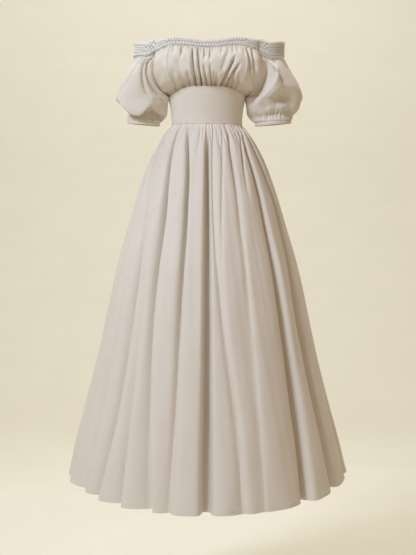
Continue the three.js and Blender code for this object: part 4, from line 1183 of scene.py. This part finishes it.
def make_stitches(material):
    """Rows of sewing: hem, both edges of the yoke, armholes, princess seams and cuffs."""
    fine = np.linspace(-1, 1, 900)
    whole = np.linspace(-180, 180, 5000)
    down = np.linspace(0.02, 0.98, 160)
    seam = mix(PRINCESS_TOP, PRINCESS_BOTTOM, down)
    rows = [(surface_line(skirt_place, whole, np.full_like(whole, HEM_DEPTH - 1.5)), HEM_STITCH)]
    for share in (0.035, 0.975):
        rows.append((surface_line(yoke_place, whole, np.full_like(whole, share)), SEAM_STITCH))
    for sign in (-1, 1):
        armhole = sign * np.full_like(down, 0.985)
        rows.append((surface_line(bust_place, sign * (seam + 0.012), down), SEAM_STITCH))
        rows.append((surface_line(bust_place, armhole, down), SEAM_STITCH))
        rows.append((surface_line(back_place, armhole, down), SEAM_STITCH))
        for share in (0.2, 0.8):
            cuff = surface_line(sided(cuff_base_place, sign), fine, np.full_like(fine, share))
            rows.append((cuff, SEAM_STITCH))
    made = [stitches_along(points, side, *stitch) for (points, side), stitch in rows]
    lines = np.concatenate([line for line, _ in made])
    sides = np.concatenate([side for _, side in made])
    sewing = cords("sewing", lines, STITCH_RADII, sides, material, sides=3)
    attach(sewing, BODY)


# Stage, in metres
FLOOR_BELOW_HEM = 0.5
FLOOR_NEAR = -7.0
FLOOR_FAR = 3.6
FLOOR_HALF_WIDTH = 9.0
BACKDROP_BEND = 1.6
BACKDROP_TALL = 6.0


def make_stage(material):
    """A pale floor that curves up behind into a backdrop."""
    floor_z = -HELD_HEIGHT * MM - FLOOR_BELOW_HEM
    profile = [(FLOOR_NEAR, floor_z)]
    for angle in np.linspace(0, np.pi / 2, 24):
        rise = BACKDROP_BEND * (1 - math.cos(angle))
        profile.append((FLOOR_FAR + BACKDROP_BEND * math.sin(angle), floor_z + rise))
    profile.append((FLOOR_FAR + BACKDROP_BEND, floor_z + BACKDROP_TALL))
    points = [(x, y, z) for y, z in profile for x in (-FLOOR_HALF_WIDTH, FLOOR_HALF_WIDTH)]
    faces = [(2 * i, 2 * i + 1, 2 * i + 3, 2 * i + 2) for i in range(len(profile) - 1)]
    stage = mesh_object("stage_floor", points, faces, material)


def area_light(name, location, target, size, power, colour):
    light = bpy.data.lights.new(name, "AREA")
    light.size = size
    light.energy = power
    light.color = colour
    lamp = bpy.data.objects.new(name, light)
    lamp.location = location
    lamp.rotation_euler = (Vector(target) - Vector(location)).to_track_quat("-Z", "Y").to_euler()
    bpy.context.scene.collection.objects.link(lamp)


# Each light's place, what it points at, its size in metres, its power in watts and its colour.
MIDDLE = (0, 0, -0.6)
LIGHTS = (
    ("key", (-2.0, -2.75, 2.1), MIDDLE, 0.95, 100, (0.91, 1.06, 1.3)),
    ("fill", (2.6, -3.2, 0.0), MIDDLE, 3.0, 9, (1.0, 0.95, 0.9)),
    ("backdrop", (0, 1.2, 2.7), (0, 4.5, -1.7), 3.0, 138, (0.98, 1.02, 1.02)),
)
SURROUNDING_COLOUR = (1.0, 0.7, 0.43, 1)
SURROUNDING_STRENGTH = 0.29


def make_lights():
    for light in LIGHTS:
        area_light(*light)
    world = bpy.data.worlds.new("studio")
    bpy.context.scene.world = world
    world.use_nodes = True
    background = world.node_tree.nodes["Background"]
    background.inputs["Color"].default_value = SURROUNDING_COLOUR
    background.inputs["Strength"].default_value = SURROUNDING_STRENGTH


CAMERA_DISTANCE = 4.2
CAMERA_HEIGHT = 0.95
CAMERA_AIM_HEIGHT = 0.63
CAMERA_OFFSET = 0.0031
CAMERA_LENS = 88.54
CAMERA_SENSOR = 36


def make_camera():
    camera = bpy.data.objects.new("camera", bpy.data.cameras.new("camera"))
    camera.data.lens = CAMERA_LENS
    camera.data.sensor_width = CAMERA_SENSOR
    held = HELD_HEIGHT * MM
    camera.location = (CAMERA_OFFSET, -CAMERA_DISTANCE, CAMERA_HEIGHT - held)
    aim = Vector((CAMERA_OFFSET, 0, CAMERA_AIM_HEIGHT - held))
    camera.rotation_euler = (aim - camera.location).to_track_quat("-Z", "Y").to_euler()
    bpy.context.scene.collection.objects.link(camera)
    bpy.context.scene.camera = camera


def finish_hardware(material):
    for name in ("zip_slider", "zip_tab"):
        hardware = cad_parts[name]
        hardware.data.materials.clear()
        hardware.data.materials.append(material)


make_camera()
make_lights()
make_stage(stage_paper())
cloth = cotton()
make_skirt(cloth)
make_yoke(cloth)
make_bodice(cloth)
make_sleeves(cloth)
# The lace lining's darker colours paint the shade seen through the lace's holes.
make_lace(lace_cotton("lace", LACE_LIGHT, LACE_DARK), lace_cotton("lace_lining", LINING_PAINTED_SHADE_LIGHT, LINING_PAINTED_SHADE_DARK))
make_stitches(sewing_thread())
finish_hardware(enamel())
bpy.context.scene.view_settings.view_transform = "Standard"
